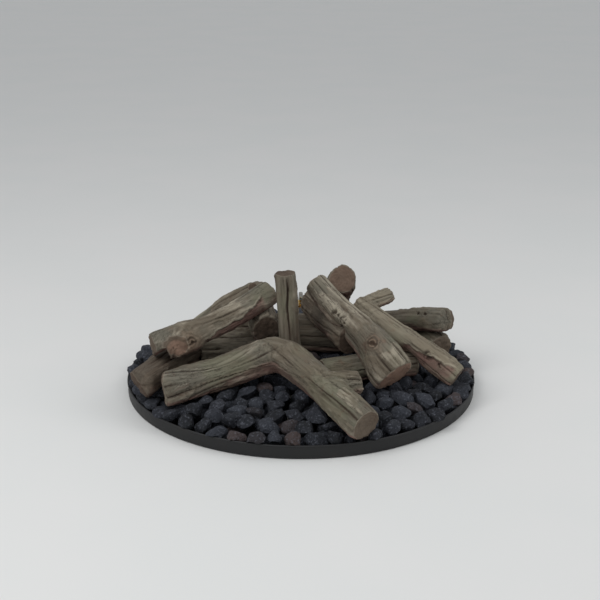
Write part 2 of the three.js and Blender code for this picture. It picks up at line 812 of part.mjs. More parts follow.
// The pan: one pressed sheet with a rolled rim, weld studs, drain holes and the hole for the gas line.
function pan() {
  const beadHeight = panHeight - rimBeadRadius;
  const corner = (radius) =>
    [0, 1].map((share) => [
      panWallOuter - panCornerRadius + radius * Math.sin(share * quarterTurn),
      panCornerRadius - radius * Math.cos(share * quarterTurn),
    ]);
  const wallAngle = Math.acos(panSheet / 2 / rimBeadRadius);
  const bead = Array.from({ length: beadSteps + 1 }, (unused, i) => {
    const angle = -wallAngle + (i * (2 * wallAngle + Math.PI)) / beadSteps;
    return [panWallMid + rimBeadRadius * Math.cos(angle), beadHeight + rimBeadRadius * Math.sin(angle)];
  });
  const inside = corner(panCornerRadius - panSheet).reverse();
  let shape = solid(
    turned([[0, 0], ...corner(panCornerRadius), ...bead, ...inside, [0, panSheet]], panSegments),
  );
  const studs = legPlaces().map((angle) => {
    const stud = turnedRod(studRadius, panSheet / 2, panSheet + studLength, boltSides);
    return solid(stud.translate(legStudRadius, 0, 0).rotateZ(angle));
  });
  const holes = Array.from({ length: drainCount }, (unused, i) => {
    const hole = turnedRod(drainHoleRadius, -cutOverrun, panSheet + cutOverrun, turnedSides);
    return solid(hole.translate(drainCircleShare * panRadius, 0, 0).rotateZ((i * fullTurn) / drainCount));
  });
  const inletHole = turnedRod(burnerTubeRadius + fitGap, panBeadInner, panRadius, turnedSides);
  holes.push(solid(layRearward(inletHole).translate(0, 0, burnerHeight)));
  shape = wasm.Manifold.union([shape, ...studs]);
  return geometryOf(shape.subtract(wasm.Manifold.union(holes)));
}

// A shape that was turned about +Z, laid so that its axis runs to the rear.
function layRearward(geometry) {
  return geometry.rotateX(-quarterTurn);
}

// Angles of the burner's legs, halfway between its spokes.
function legPlaces() {
  return Array.from({ length: legCount }, (unused, i) => ((i + 0.5) * fullTurn) / legCount);
}

// The burner weldment: two ported rings, a hub, four spokes and the inlet tube, all hollow.
function ringBurner() {
  const assemble = (tubeRadius, sides, hubWallOffset, inletTip) => {
    const tube = (radius, segments) => solid(new THREE.TorusGeometry(radius, tubeRadius, sides, segments));
    const spokes = Array.from({ length: spokeCount }, (unused, i) =>
      solid(
        layRearward(turnedRod(tubeRadius, 0, i === 0 ? inletTip : outerRingRadius, sides)).rotateZ(
          (i * fullTurn) / spokeCount,
        ),
      ),
    );
    const halfHub = hubHeight / 2 - hubWallOffset;
    return wasm.Manifold.union([
      tube(outerRingRadius, outerRingSegments),
      tube(innerRingRadius, innerRingSegments),
      solid(turnedRod(hubRadius - hubWallOffset, -halfHub, halfHub, innerRingSegments)),
      ...spokes,
    ]);
  };
  const ports = [
    [outerRingRadius, outerPortCount],
    [innerRingRadius, innerPortCount],
  ].flatMap(([radius, count]) =>
    Array.from({ length: count }, (unused, i) => {
      const port = turnedRod(portRadius, 0, burnerTubeRadius + cutOverrun, portSides);
      return solid(port.translate(radius, 0, 0).rotateZ(((i + 0.5) * fullTurn) / count));
    }),
  );
  const outside = assemble(burnerTubeRadius, tubeSides, 0, inletEnd);
  const inside = assemble(burnerTubeRadius - burnerTubeWall, boreSides, hubWall, inletEnd + cutOverrun);
  return geometryOf(outside.subtract(inside).subtract(wasm.Manifold.union(ports)));
}

// One leg: a folded strip with a cradle under the burner's outer ring and a foot over a weld stud.
function burnerLeg(angle) {
  const cradleInner = burnerTubeRadius + fitGap;
  const cradleOuter = cradleInner + legSheet;
  const down = -quarterTurn;
  const footLow = panSheet + fitGap - burnerHeight;
  const stemTurn = Math.asin(legSheet / 2 / cradleOuter);
  const outline = new THREE.Shape();
  outline.absarc(0, 0, cradleInner, -Math.PI, 0, false);
  outline.absarc(0, 0, cradleOuter, 0, down + stemTurn, true);
  outline.lineTo(legSheet / 2, footLow + legSheet);
  outline.lineTo(legFootLength, footLow + legSheet);
  outline.lineTo(legFootLength, footLow);
  outline.lineTo(-legSheet / 2, footLow);
  outline.absarc(0, 0, cradleOuter, down - stemTurn, -Math.PI, true);
  outline.closePath();
  const strip = new THREE.ExtrudeGeometry(outline, {
    depth: legWidth,
    bevelEnabled: false,
    curveSegments: arcSteps,
  });
  strip.rotateX(quarterTurn).translate(legRingRadius, legWidth / 2, burnerHeight).rotateZ(angle);
  const hole = turnedRod(studRadius + fitGap, 0, burnerHeight, boltSides);
  hole.translate(legStudRadius, 0, 0).rotateZ(angle);
  return geometryOf(solid(strip).subtract(solid(hole)));
}

// The nut that holds a leg's foot down on its stud.
function legNut(angle) {
  const low = panSheet + fitGap + legSheet + fitGap;
  const nut = hexNut(legNutAcrossFlats, studRadius + fitGap, low, low + legNutHeight);
  return nut.translate(legStudRadius, 0, 0).rotateZ(angle);
}

// Radial openings of the mixer or its shutter.
function airWindows(outerRadius) {
  const reach = outerRadius + cutOverrun;
  const middle = windowStart + windowLength / 2;
  return wasm.Manifold.union(
    Array.from({ length: windowCount }, (unused, i) => {
      const opening = block(windowWidth, reach, windowLength, [0, reach / 2, middle]);
      return solid(opening.rotateZ(((i + 0.5) * fullTurn) / windowCount));
    }),
  );
}

// The air mixer: a turned tube that slips over the burner's inlet, with air windows and a tapped end wall.
function airMixer() {
  const bore = burnerTubeRadius + fitGap;
  const endBore = orificeNoseRadius + fitGap;
  const shape = solid(
    turned(
      [
        [bore, mixerStart],
        [mixerRadius, mixerStart],
        [mixerRadius, mixerEnd],
        [endBore, mixerEnd],
        [endBore, chamberEnd],
        [bore, chamberEnd],
        [bore, mixerStart],
      ],
      turnedSides,
    ),
  );
  return geometryOf(shape.subtract(airWindows(mixerRadius)));
}

// The shutter: a sleeve with the mixer's windows again, which turns to close them.
function airShutter() {
  const shape = solid(
    turnedRing(mixerRadius + runningGap, shutterRadius, shutterStart, shutterEnd, turnedSides),
  );
  const tapped = turnedRod(shutterScrewRadius + fitGap, mixerRadius, shutterRadius + cutOverrun, boltSides);
  const screwHole = solid(tapped.rotateX(quarterTurn).translate(0, 0, shutterScrewPlace()));
  return geometryOf(shape.subtract(airWindows(shutterRadius)).subtract(screwHole));
}

// Where the lock screw stands along the gas line.
function shutterScrewPlace() {
  return (shutterStart + shutterEnd) / 2;
}

// The lock screw that holds the shutter where it is set.
function shutterScrew() {
  const shankLow = mixerRadius + runningGap;
  const headLow = shutterRadius + fitGap;
  const headHigh = headLow + shutterScrewHeadHeight;
  const screw = turned(
    [
      [0, shankLow],
      [shutterScrewRadius, shankLow],
      [shutterScrewRadius, headLow],
      [shutterScrewHeadRadius, headLow],
      [shutterScrewHeadRadius, headHigh],
      [0, headHigh],
    ],
    boltSides,
  );
  return screw.rotateX(quarterTurn).translate(0, 0, shutterScrewPlace());
}

// The brass orifice, with its jet inside the mixer and its tail in the valve.
function gasOrifice() {
  const noseTip = chamberEnd - orificeNoseStep;
  const hexEnd = orificeHexStart + orificeHexLength;
  const tailEnd = hexEnd + orificeTailLength;
  const outside = solid(
    turned(
      [
        [0, noseTip],
        [orificeFeedRadius, noseTip],
        [orificeNoseRadius, chamberEnd],
        [orificeNoseRadius, orificeHexStart],
        [valveTailRadius, hexEnd],
        [valveTailRadius, tailEnd],
        [0, tailEnd],
      ],
      turnedSides,
    ),
  );
  const hexagon = solid(hexNut(orificeHexAcrossFlats, 0, orificeHexStart, hexEnd));
  const jetEnd = noseTip + orificeJetLength;
  const passage = solid(
    turned(
      [
        [0, noseTip - cutOverrun],
        [orificeJetRadius, noseTip - cutOverrun],
        [orificeJetRadius, jetEnd],
        [orificeFeedRadius, jetEnd],
        [orificeFeedRadius, tailEnd + cutOverrun],
        [0, tailEnd + cutOverrun],
      ],
      boltSides,
    ),
  );
  return geometryOf(outside.add(hexagon).subtract(passage));
}

// A shape made upright over the gas line's axis, moved onto the valve's stem.
function onStem(geometry) {
  return geometry.rotateX(quarterTurn).translate(0, 0, ballCentre);
}

// The valve's body: a barrel that is open to the rear for the ball, with a neck for the stem.
function valveBody() {
  const socketRadius = valveTailRadius + fitGap;
  const socketEnd = valveStart + orificeTailLength + fitGap;
  const barrel = solid(
    turned(
      [
        [socketRadius, valveStart],
        [valveFrontRadius, valveStart],
        [valveFrontRadius, barrelStart],
        [valveBodyRadius, barrelStart],
        [valveBodyRadius, barrelEnd],
        [cavityRadius, barrelEnd],
        [cavityRadius, cavityStart],
        [valvePortRadius, cavityStart],
        [valvePortRadius, socketEnd],
        [socketRadius, socketEnd],
        [socketRadius, valveStart],
      ],
      turnedSides,
    ),
  );
  const neck = solid(onStem(turnedRod(bonnetRadius, cavityRadius + valveWall / 2, bonnetTop, turnedSides)));
  const stemBore = onStem(turnedRod(stemRadius + runningGap, 0, bonnetTop + cutOverrun, turnedSides));
  return geometryOf(barrel.add(neck).subtract(solid(stemBore)));
}

// The ball, with its bore along the gas line and a slot for the stem's tang.
function valveBall() {
  const sphere = new THREE.SphereGeometry(ballRadius, turnedSides, turnedSides / 2);
  const ball = solid(sphere.translate(0, 0, ballCentre));
  const bore = turnedRod(valvePortRadius, ballCentre - ballRadius, ballCentre + ballRadius, turnedSides);
  const slotLow = stemStart - stemTangDepth - fitGap;
  const slotHeight = ballRadius + cutOverrun - slotLow;
  const slotWidth = stemTangWidth + 2 * fitGap;
  const slot = block(slotWidth, 2 * ballRadius, slotHeight, [0, 0, slotLow + slotHeight / 2]);
  return geometryOf(ball.subtract(solid(bore)).subtract(solid(onStem(slot))));
}

// A seat ring that cups the ball, in front of it or behind it.
function valveSeat(side) {
  const cup = ballRadius + fitGap;
  const outer = cavityRadius - fitGap;
  const face = Array.from({ length: seatSteps + 1 }, (unused, i) => {
    const radius = THREE.MathUtils.lerp(seatLipRadius, ballRadius * seatReachShare, i / seatSteps);
    return [radius, Math.sqrt(cup * cup - radius * radius)];
  });
  const rim = face[face.length - 1][1];
  const profile = [...face, [outer, rim], [outer, seatReach], [seatLipRadius, seatReach], face[0]];
  const ring = turned(profile, turnedSides);
  return (side < 0 ? ring.rotateX(Math.PI) : ring).translate(0, 0, ballCentre);
}

// The threaded cap that closes the barrel behind the rear seat.
function valveEndCap() {
  const socketRadius = valveTailRadius + fitGap;
  const socketStart = capEnd - fittingTailLength - fitGap;
  return turned(
    [
      [valvePortRadius, capStart],
      [cavityRadius - fitGap, capStart],
      [cavityRadius - fitGap, capFlangeStart],
      [valveBodyRadius, capFlangeStart],
      [valveBodyRadius, capEnd],
      [socketRadius, capEnd],
      [socketRadius, socketStart],
      [valvePortRadius, socketStart],
      [valvePortRadius, capStart],
    ],
    turnedSides,
  );
}

// The stem: a tang in the ball's slot, a round shaft, and a reduced end for the lever.
function valveStem() {
  const shoulder = leverLow - fitGap;
  const stemTop = leverNutHigh + stemEndStep;
  const shaft = turned(
    [
      [0, stemStart],
      [stemRadius, stemStart],
      [stemRadius, shoulder],
      [stemEndRadius, shoulder],
      [stemEndRadius, stemTop],
      [0, stemTop],
    ],
    turnedSides,
  );
  const tangHeight = 2 * stemTangDepth;
  const tang = block(stemTangWidth, stemRadius * tangLengthShare, tangHeight, [0, 0, stemStart]);
  return geometryOf(solid(onStem(shaft)).add(solid(onStem(tang))));
}

// The lever: a flat bar with round ends, drawn in plan and pointing to the rear.
function valveLever() {
  const hub = leverWidth / 2;
  const tip = hub * leverTipShare;
  const reach = leverLength - tip;
  const lean = Math.asin((hub - tip) / reach);
  const outline = new THREE.Shape();
  outline.absarc(0, 0, hub, Math.PI - lean, lean, false);
  outline.absarc(0, reach, tip, lean, Math.PI - lean, false);
  outline.closePath();
  outline.holes.push(new THREE.Path().absarc(0, 0, stemEndRadius + fitGap, 0, fullTurn, true));
  return onStem(
    new THREE.ExtrudeGeometry(outline, {
      depth: leverSheet,
      bevelEnabled: false,
      curveSegments: arcSteps,
    }).translate(0, 0, leverLow),
  );
}

// The inlet fitting, with a tail in the valve's cap and a cone for a flared tube.
function inletFitting() {
  const outside = solid(
    turned(
      [
        [0, fittingHexStart - fittingTailLength],
        [valveTailRadius, fittingHexStart - fittingTailLength],
        [valveTailRadius, fittingHexStart],
        [fittingThreadRadius, fittingThreadStart],
        [fittingThreadRadius, fittingNoseStart],
        [fittingNoseRadius, fittingEnd],
        [0, fittingEnd],
      ],
      turnedSides,
    ),
  );
  const hexagon = solid(hexNut(fittingHexAcrossFlats, 0, fittingHexStart, fittingThreadStart));
  const passage = turnedRod(
    fittingBoreRadius,
    fittingHexStart - fittingTailLength - cutOverrun,
    fittingEnd + cutOverrun,
    turnedSides,
  );
  return geometryOf(outside.add(hexagon).subtract(solid(passage)));
}

// Finishes, one material for each piece
const finishes = {
  castLog: { color: 0x77705f, roughness: 0.95, metalness: 0 },
  lava: { color: 0x2c2e34, roughness: 0.97, metalness: 0 },
  blackSteel: { color: 0x1d1d1e, roughness: 0.6, metalness: 0.4 },
  burnerSteel: { color: 0x83827d, roughness: 0.45, metalness: 0.9 },
  brass: { color: 0xb39250, roughness: 0.35, metalness: 0.95 },
  chrome: { color: 0xc9ccce, roughness: 0.18, metalness: 1 },
  fibre: { color: 0x4c4a45, roughness: 0.9, metalness: 0 },
  seatPlastic: { color: 0xe8e6df, roughness: 0.5, metalness: 0 },
};

// A named mesh with its own material.
function piece(name, geometry, finish) {
  const mesh = new THREE.Mesh(geometry, new THREE.MeshStandardMaterial(finishes[finish]));
  mesh.name = name;
  return mesh;
}

// The logs and the sectors of the bed that they sit on.
function logsAndBed() {
  castLogSet();
  const group = new THREE.Group();
  for (const [name, { shape }] of castLogs) group.add(piece(name, geometryOf(shape), "castLog"));
  outerSectorNames.forEach((name, i) => group.add(piece(name, bedSector(true, i), "lava")));
  innerSectorNames.forEach((name, i) => group.add(piece(name, bedSector(false, i), "lava")));
  return group;
}

// The pan with the burner on its legs.
function panAndBurner() {
  const group = new THREE.Group();
  group.add(piece("burner_pan", pan(), "blackSteel"));
  const burner = piece("ring_burner", ringBurner(), "burnerSteel");
  burner.position.z = burnerHeight;
  group.add(burner);
  legPlaces().forEach((angle, i) => {
    group.add(piece(`burner_leg_${i + 1}`, burnerLeg(angle), "burnerSteel"));
    group.add(piece(`burner_leg_nut_${i + 1}`, legNut(angle), "burnerSteel"));
  });
  return group;
}

// The gas line behind the pan. In this group +Z runs to the rear and -Y points up.
function gasLine() {
  const group = new THREE.Group();
  group.rotation.x = -quarterTurn;
  group.position.z = burnerHeight;
  const tubeHole = burnerTubeRadius + fitGap;
  const innerNut = hexNut(bulkheadNutAcrossFlats, tubeHole, innerNutEnd - innerNutLength, innerNutEnd);
  const outerNut = hexNut(bulkheadNutAcrossFlats, tubeHole, outerNutStart, outerNutStart + outerNutLength);
  const gasket = turnedRing(tubeHole, gasketRadius, gasketStart, gasketStart + gasketThickness, turnedSides);
  const packingNut = hexNut(
    packingNutAcrossFlats,
    stemRadius + runningGap,
    packingNutLow,
    packingNutLow + packingNutHeight,
  );
  const leverNut = hexNut(leverNutAcrossFlats, stemEndRadius + fitGap, leverNutLow, leverNutHigh);
  group.add(
    piece("bulkhead_inner_nut", innerNut, "brass"),
    piece("bulkhead_gasket", gasket, "fibre"),
    piece("bulkhead_outer_nut", outerNut, "brass"),
    piece("air_mixer", airMixer(), "burnerSteel"),
    piece("air_shutter", airShutter(), "burnerSteel"),
    piece("shutter_lock_screw", shutterScrew(), "burnerSteel"),
    piece("gas_orifice", gasOrifice(), "brass"),
    piece("valve_body", valveBody(), "brass"),
    piece("valve_front_seat", valveSeat(-1), "seatPlastic"),
    piece("valve_ball", valveBall(), "chrome"),
    piece("valve_rear_seat", valveSeat(1), "seatPlastic"),
    piece("valve_end_cap", valveEndCap(), "brass"),
    piece("valve_stem", valveStem(), "brass"),
    piece("valve_packing_nut", onStem(packingNut), "brass"),
    piece("valve_lever", valveLever(), "burnerSteel"),
    piece("valve_lever_nut", onStem(leverNut), "burnerSteel"),
    piece("gas_inlet_fitting", inletFitting(), "brass"),
  );
  return group;
}

const gasLogSet = new THREE.Group();
gasLogSet.add(logsAndBed(), panAndBurner(), gasLine());

export default gasLogSet;
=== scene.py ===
"""Looks for a gas log set: cast logs on lava rock in a low pan, with its burner and gas line.

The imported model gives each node's size and place. This script dresses each node: the logs get bark, knots
and sawn ends, the bed gets single stones, the pan is turned smoothly, and the metal parts get their
finishes. Lengths are in metres. A pixel is (across, down) in the photograph.
"""

import functools
import itertools
import json
import math
import random
from types import SimpleNamespace
import bmesh
import bpy
import numpy as np
from mathutils import Matrix, Vector
from mathutils.bvhtree import BVHTree

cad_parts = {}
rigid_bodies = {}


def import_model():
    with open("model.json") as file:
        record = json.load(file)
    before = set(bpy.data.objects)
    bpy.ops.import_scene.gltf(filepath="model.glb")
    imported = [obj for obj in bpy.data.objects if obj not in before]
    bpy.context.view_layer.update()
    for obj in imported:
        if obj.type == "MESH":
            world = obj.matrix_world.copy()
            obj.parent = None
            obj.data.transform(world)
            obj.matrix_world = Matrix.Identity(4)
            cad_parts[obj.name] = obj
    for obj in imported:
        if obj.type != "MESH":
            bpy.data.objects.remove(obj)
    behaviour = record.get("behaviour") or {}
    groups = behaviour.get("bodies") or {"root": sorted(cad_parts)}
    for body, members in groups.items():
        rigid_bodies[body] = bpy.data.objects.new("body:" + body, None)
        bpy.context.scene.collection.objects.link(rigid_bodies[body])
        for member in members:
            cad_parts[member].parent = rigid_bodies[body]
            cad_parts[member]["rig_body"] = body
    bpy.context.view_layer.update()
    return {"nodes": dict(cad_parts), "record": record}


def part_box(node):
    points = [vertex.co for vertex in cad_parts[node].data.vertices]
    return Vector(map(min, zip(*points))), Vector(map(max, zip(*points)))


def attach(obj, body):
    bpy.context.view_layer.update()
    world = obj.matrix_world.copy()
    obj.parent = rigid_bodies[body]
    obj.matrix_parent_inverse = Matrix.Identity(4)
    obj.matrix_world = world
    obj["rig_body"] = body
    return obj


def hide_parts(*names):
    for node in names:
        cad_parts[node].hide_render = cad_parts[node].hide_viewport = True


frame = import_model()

# Camera, fitted to the outline of the round bed. The photograph's frame is 600 pixels square.
FRAME_PIXELS = 600
FOCAL_PIXELS = 1213
SENSOR_WIDTH_MM = 36
CAMERA_ASIDE = -0.0019
CAMERA_AWAY = 2.6
CAMERA_ABOVE = math.radians(22.3)
CAMERA_DOWN = math.radians(18.9)
AIM_HEIGHT = 0.025
CAMERA_PLACE = Vector(
    (CAMERA_ASIDE, -CAMERA_AWAY * math.cos(CAMERA_ABOVE), AIM_HEIGHT + CAMERA_AWAY * math.sin(CAMERA_ABOVE))
)

# Lamps, as their place, size and power
LAMPS = {
    "key": ((-1.6, -1.5, 2.4), 1.6, 36),
    "fill": ((2.0, -0.6, 1.8), 1.8, 14),
}
LAMP_AIM = Vector((0, 0, 0.1))

# Pan, with the same sizes as its CAD solid
PAN_RADIUS = 0.368
PAN_HEIGHT = 0.028
PAN_SHEET = 0.0015
PAN_CORNER = 0.0035
PAN_BEAD = 0.002



def new_object(name, data):
    """A new object in the scene, for a mesh, a lamp or a camera."""
    made = bpy.data.objects.new(name, data)
    bpy.context.scene.collection.objects.link(made)
    return made


def rows_of(items, name, width=3, kind=float):
    """One value of each vertex, edge or the like, as rows of numbers."""
    values = np.empty(len(items) * width, dtype=kind)
    items.foreach_get(name, values)
    return values.reshape(-1, width)


def keep_colour(mesh, name, *columns):
    """Keeps four values at each vertex, which a material reads as a colour and its alpha."""
    layer = mesh.attributes.new(name, "FLOAT_COLOR", "POINT")
    layer.data.foreach_set("color", np.column_stack(columns).ravel())


def new_mesh(name, corners, faces):
    """A mesh of given corners and faces."""
    mesh = bpy.data.meshes.new(name)
    mesh.from_pydata(corners, [], faces)
    return mesh


def prism_faces(count):
    """The faces of a solid between two rows of corners, which follow one another."""
    sides = [(i, (i + 1) % count, count + (i + 1) % count, count + i) for i in range(count)]
    return sides + [tuple(reversed(range(count))), tuple(range(count, 2 * count))]


def add_boolean(target, operation, other):
    """Lets another object's solid be cut from a target's, or joined to it."""
    change = target.modifiers.new(operation, "BOOLEAN")
    change.operation = operation
    change.object = other
    change.solver = "EXACT"


def baked_mesh(source):
    """The mesh of an object as its modifiers leave it."""
    graph = bpy.context.evaluated_depsgraph_get()
    return bpy.data.meshes.new_from_object(source.evaluated_get(graph))


def cell_hash(cells, seed):
    """A repeatable number between -1 and 1 for each row of whole numbers."""
    key = cells[:, 0] * 374761393 + cells[:, 1] * 668265263 + cells[:, 2] * 2147483647
    key = (key + seed * 1274126177) & 0xFFFFFFFF
    key = ((key ^ (key >> 13)) * 1274126177) & 0xFFFFFFFF
    return ((key ^ (key >> 16)) & 0xFFFF) / 32767.5 - 1


def smooth_noise(places, seed):
    """Smooth noise between -1 and 1 at each row of places."""
    cells = np.floor(places).astype(np.int64)
    inside = places - cells
    inside = inside * inside * (3 - 2 * inside)
    total = np.zeros(len(places))
    for corner in itertools.product((0, 1), repeat=3):
        weight = np.prod(np.where(corner, inside, 1 - inside), axis=1)
        total += weight * cell_hash(cells + corner, seed)
    return total


def rough_noise(places, seed, octaves):
    """Noise with finer and fainter octaves."""
    total = np.zeros(len(places))
    for octave in range(octaves):
        total += smooth_noise(places * 2**octave, seed + octave) / 2**octave
    return total


def ramp(values, low, high):
    """0 below low, 1 above high, and smooth between them."""
    share = np.clip((values - low) / (high - low), 0, 1)
    return share * share * (3 - 2 * share)


def groove(phase, width):
    """1 in the middle of each groove that runs round a phase, and 0 between them."""
    return np.exp(-((np.sin(phase) / width) ** 2))


def patch(away, size, hardness):
    """1 in the middle of a patch, fading out at its size, more suddenly where it is harder."""
    return np.exp(-((away / size) ** hardness))


# Seams between limbs, as plan places in metres, repeated from the part's own layout. Logs that aren't
# named here have one straight limb.
LIMBS = {
    "front_forked_log": (
        ((-0.273, -0.212), (-0.046, -0.156)),
        ((-0.046, -0.156), (0.122, -0.350)),
        ((0.052, -0.257), (0.123, -0.234)),
    ),
    "left_knotted_log": (
        ((-0.298, -0.136), (-0.060, -0.028)),
        ((-0.243, -0.111), (-0.250, -0.149)),
    ),
    "right_forked_log": (
        ((0.318, -0.124), (0.112, -0.025)),
        ((0.123, -0.029), (0.190, 0.011)),
    ),
}

# How each log is cast. A spot is (pixel across, pixel down, radius), and lies on the log where the camera
# sees that pixel.
#   ridges: how many run round the log
#   crack: how deep the cracks go
#   bark: how much more loose bark is left
#   tone, end_tone: how pale the bark and the sawn ends are, where 0.5 is neither dark nor pale; below 0.5
#       they darken towards a shaded brown, which on left_base_log is painted shade
#   knots, pits, grooves: spots with a knot, with pitted bark, and with every crack open
#   ledges: torn bark, as its depth, its width as a turn round the log, and pixels along its upper edge
#   cuts, slant: what view_cutter takes off, and what leaves a slanting sawn end
#   knot_face: the spot of a sawn off branch
PLAIN_BARK = {
    "ridges": 9, "crack": 0.0035, "bark": -0.05, "tone": 0.5, "end_tone": 0.35,
    "knots": (), "pits": (), "grooves": (), "ledges": (), "cuts": (), "slant": None, "knot_face": None,
}
BARKS = {
    "front_forked_log": {
        "ridges": 8, "crack": 0.0032, "bark": -0.14, "end_tone": 0.45,
        "slant": (
            50, (163, 390), (161.5, 366), (158.8, 385), (163.8, 410), (150, 415), (140, 390), (145, 360)
        ),
        "ledges": (
            (0.0035, 0.16, (174, 391), (181, 388), (190, 384)),
            (0.003, 0.7, (208, 392), (222, 385), (243, 373)),
        ),
    },
    "left_base_log": {
        # Painted shade: the dark tone and the darker sawn ends stand for the shadow that this log lies in.
        "tone": 0.0, "end_tone": -0.2,
        "slant": (-95, (145, 385), (156.2, 404), (130, 420), (100, 390), (110, 350), (126, 362)),
    },
    "left_knotted_log": {
        "ridges": 7, "crack": 0.0036, "bark": -0.1,
        "knots": ((192, 343, 0.020),),
        "cuts": ((0, (160, 350), (120, 378), (166, 347.5), (170, 354), (172, 368), (150, 376), (118, 388)),),
        "knot_face": (178, 351, 0.027),
        "ledges": ((0.0055, 1.6, (205, 339), (226, 326), (242, 318), (248, 312), (257, 303), (262, 297)),),
    },
    "right_knotted_log": {
        "ridges": 8, "crack": 0.0042, "end_tone": 1.0,
        "knots": ((372, 343, 0.020),),
        "pits": ((336, 316, 0.014), (343, 323, 0.014)),
        "grooves": ((391, 362, 0.045),),
    },
    "right_forked_log": {
        "ridges": 7, "crack": 0.0026, "bark": -0.16, "tone": 0.85, "end_tone": 0.5,
        "pits": ((428, 356, 0.012), (440, 366, 0.012)),
        "ledges": ((0.0045, 1.5, (404, 343), (418, 350), (430, 356), (444, 362), (456, 368)),),
    },
    "upright_log": {"ridges": 4, "crack": 0.0075, "bark": -0.2, "tone": 0.33},
    "rear_right_log": {
        "crack": 0.002,
        "pits": ((418, 312, 0.009), (424, 313, 0.008)),
        "slant": (
            60, (445, 320), (446.5, 303), (450.5, 319), (448.5, 336), (470, 340), (478, 318), (470, 300)
        ),
    },
    "top_log": {"tone": 0.35, "end_tone": 0.65},
    "rear_base_log": {"tone": 0.25},
    "left_inner_log": {"tone": 0.3, "bark": 0.1},
    "left_cross_log": {"tone": 0.3, "bark": 0.1, "end_tone": 0.2},
    "centre_cross_log": {"tone": 0.15, "end_tone": 0.0},
    "rear_right_base_log": {"tone": 0.25},
}

# The logs' meshes. Facings are ramps over how squarely a surface looks along its limb, or down. MARK_RANGE
# is the relief that the height mark spans.
BARK_VOXEL = 0.0024
ROUNDING = 16
END_FIRMNESS = 0.85
LIMB_REACH = 0.040
LIMB_HARDNESS = 9
STEEP_LIMB = 0.85
SAWN_FACING = (0.62, 0.86)
FIRM_FACING = (0.3, 0.6)
UNDER_FACING = (0.1, 0.7)
CUT_REACH = 0.3
SLANT_REACH = 0.07
MARK_RANGE = 0.012

# Bark noise: forms to the metre along the log and round it, a step of the seed, and octaves
BARK_NOISE = {
    "sway": (7, 12, 0, 1),
    "fine_sway": (26, 24, 1, 1),
    "open_cracks": (12, 26, 2, 1),
    "open_splits": (18, 40, 3, 1),
    "lumps": (10, 20, 4, 2),
    "ridges": (5, 62, 15, 1),
    "fine_ridges": (9, 130, 21, 1),
    "fine": (24, 210, 6, 3),
    "loose": (12, 26, 9, 3),
    "chips": (95, 150, 12, 3),
}
CRACK_WIDTH = 0.17
CRACK_OPENING = (-0.35, 0.3)
SPLIT_WIDTH = 0.22
SPLIT_OPENING = (0.0, 0.5)
SPLIT_DEPTH = 0.35
LOOSE_BARK_EDGE = (0.02, 0.12)
LUMP_HEIGHT = 0.0022
RIDGE_HEIGHT = 0.0016
FINE_HEIGHT = 0.0006
LOOSE_BARK_HEIGHT = 0.0015

# Sawn ends: growth rings, splits that run out from the heart, and wear
SAWN_RING = 0.0055
SAWN_GRAIN = 60
SAWN_HEART = (0.002, 0.012)
SAWN_SPLIT_WIDTH = 0.05
SAWN_RING_HEIGHT = 0.00012
SAWN_SPLIT_DEPTH = 0.0010
SAWN_WEAR = 0.0010
SAWN_WAVE = 0.0014

# Knots, whose ring, heart and split are shares of their radius, and pits
KNOT_RING = 0.36
KNOT_HEART = 0.62
KNOT_SPLIT = 0.11
KNOT_RING_HEIGHT = 0.0012
KNOT_SPLIT_DEPTH = 0.0045
PIT_GRAIN = 170
PIT_EDGE = (0.02, 0.35)
PIT_DEPTH = 0.0035

# The sawn off branch
FACE_FACING = (0.72, 0.9)
FACE_HEART = (0.002, 0.008)
FACE_SPLIT_WIDTH = 0.16
FACE_SPLIT_OPENING = (-0.5, 0.3)
FACE_SPLIT_DEPTH = 0.0022
FACE_RING_HEIGHT = 0.0005
FACE_TONE = 0.9

# Torn ledges. Turns round the log are in radians.
LEDGE_EDGE = 0.14
LEDGE_FADE = 0.006
LEDGE_JAG = 0.11
LEDGE_JAG_GRAIN = 75
LEDGE_LIP = -0.04
LEDGE_LIP_WIDTH = 0.09



def pixel_ray(across, down):
    """The camera's place and the direction in which it sees a pixel of the photograph."""
    right = Vector((1, 0, 0))
    ahead = Vector((0, math.cos(CAMERA_DOWN), -math.sin(CAMERA_DOWN)))
    above = right.cross(ahead)
    x = (across - FRAME_PIXELS / 2) / FOCAL_PIXELS
    y = (FRAME_PIXELS / 2 - down) / FOCAL_PIXELS
    return CAMERA_PLACE, (ahead + x * right + y * above).normalized()


def seen_place(tree, across, down):
    """Where the camera sees a pixel on a solid."""
    return np.array(tree.ray_cast(*pixel_ray(across, down))[0])


def distances(points, place):
    """How far each point lies from a place."""
    return np.linalg.norm(points - place, axis=1)


def node_tree(name):
    """A search tree over a CAD node's surface."""
    mesh = frame["nodes"][name].data
    corners = [vertex.co for vertex in mesh.vertices]
    return BVHTree.FromPolygons(corners, [tuple(face.vertices) for face in mesh.polygons])


def log_names():
    """The nodes that are logs."""
    return sorted(name for name in frame["nodes"] if name.endswith("_log"))


def view_cutter(tree, slide, seen, *marks):
    """A solid that the camera sees as the outline through the marks, which are pixels. Its middle is as far
    off as the log's surface at the pixel seen, and its outline slides sideways for each metre of depth."""
    depth = (Vector(seen_place(tree, *seen)) - CAMERA_PLACE).length
    corners = []
    for step in (-CUT_REACH, CUT_REACH):
        for across, down in marks:
            start, aim = pixel_ray(across + slide * step, down)
            corners.append(start + aim * (depth + step))
    mesh = new_mesh("view_cutter", corners, prism_faces(len(marks)))
    grid = bmesh.new()
    grid.from_mesh(mesh)
    bmesh.ops.recalc_face_normals(grid, faces=grid.faces)
    grid.to_mesh(mesh)
    grid.free()
    return new_object("view_cutter", mesh)


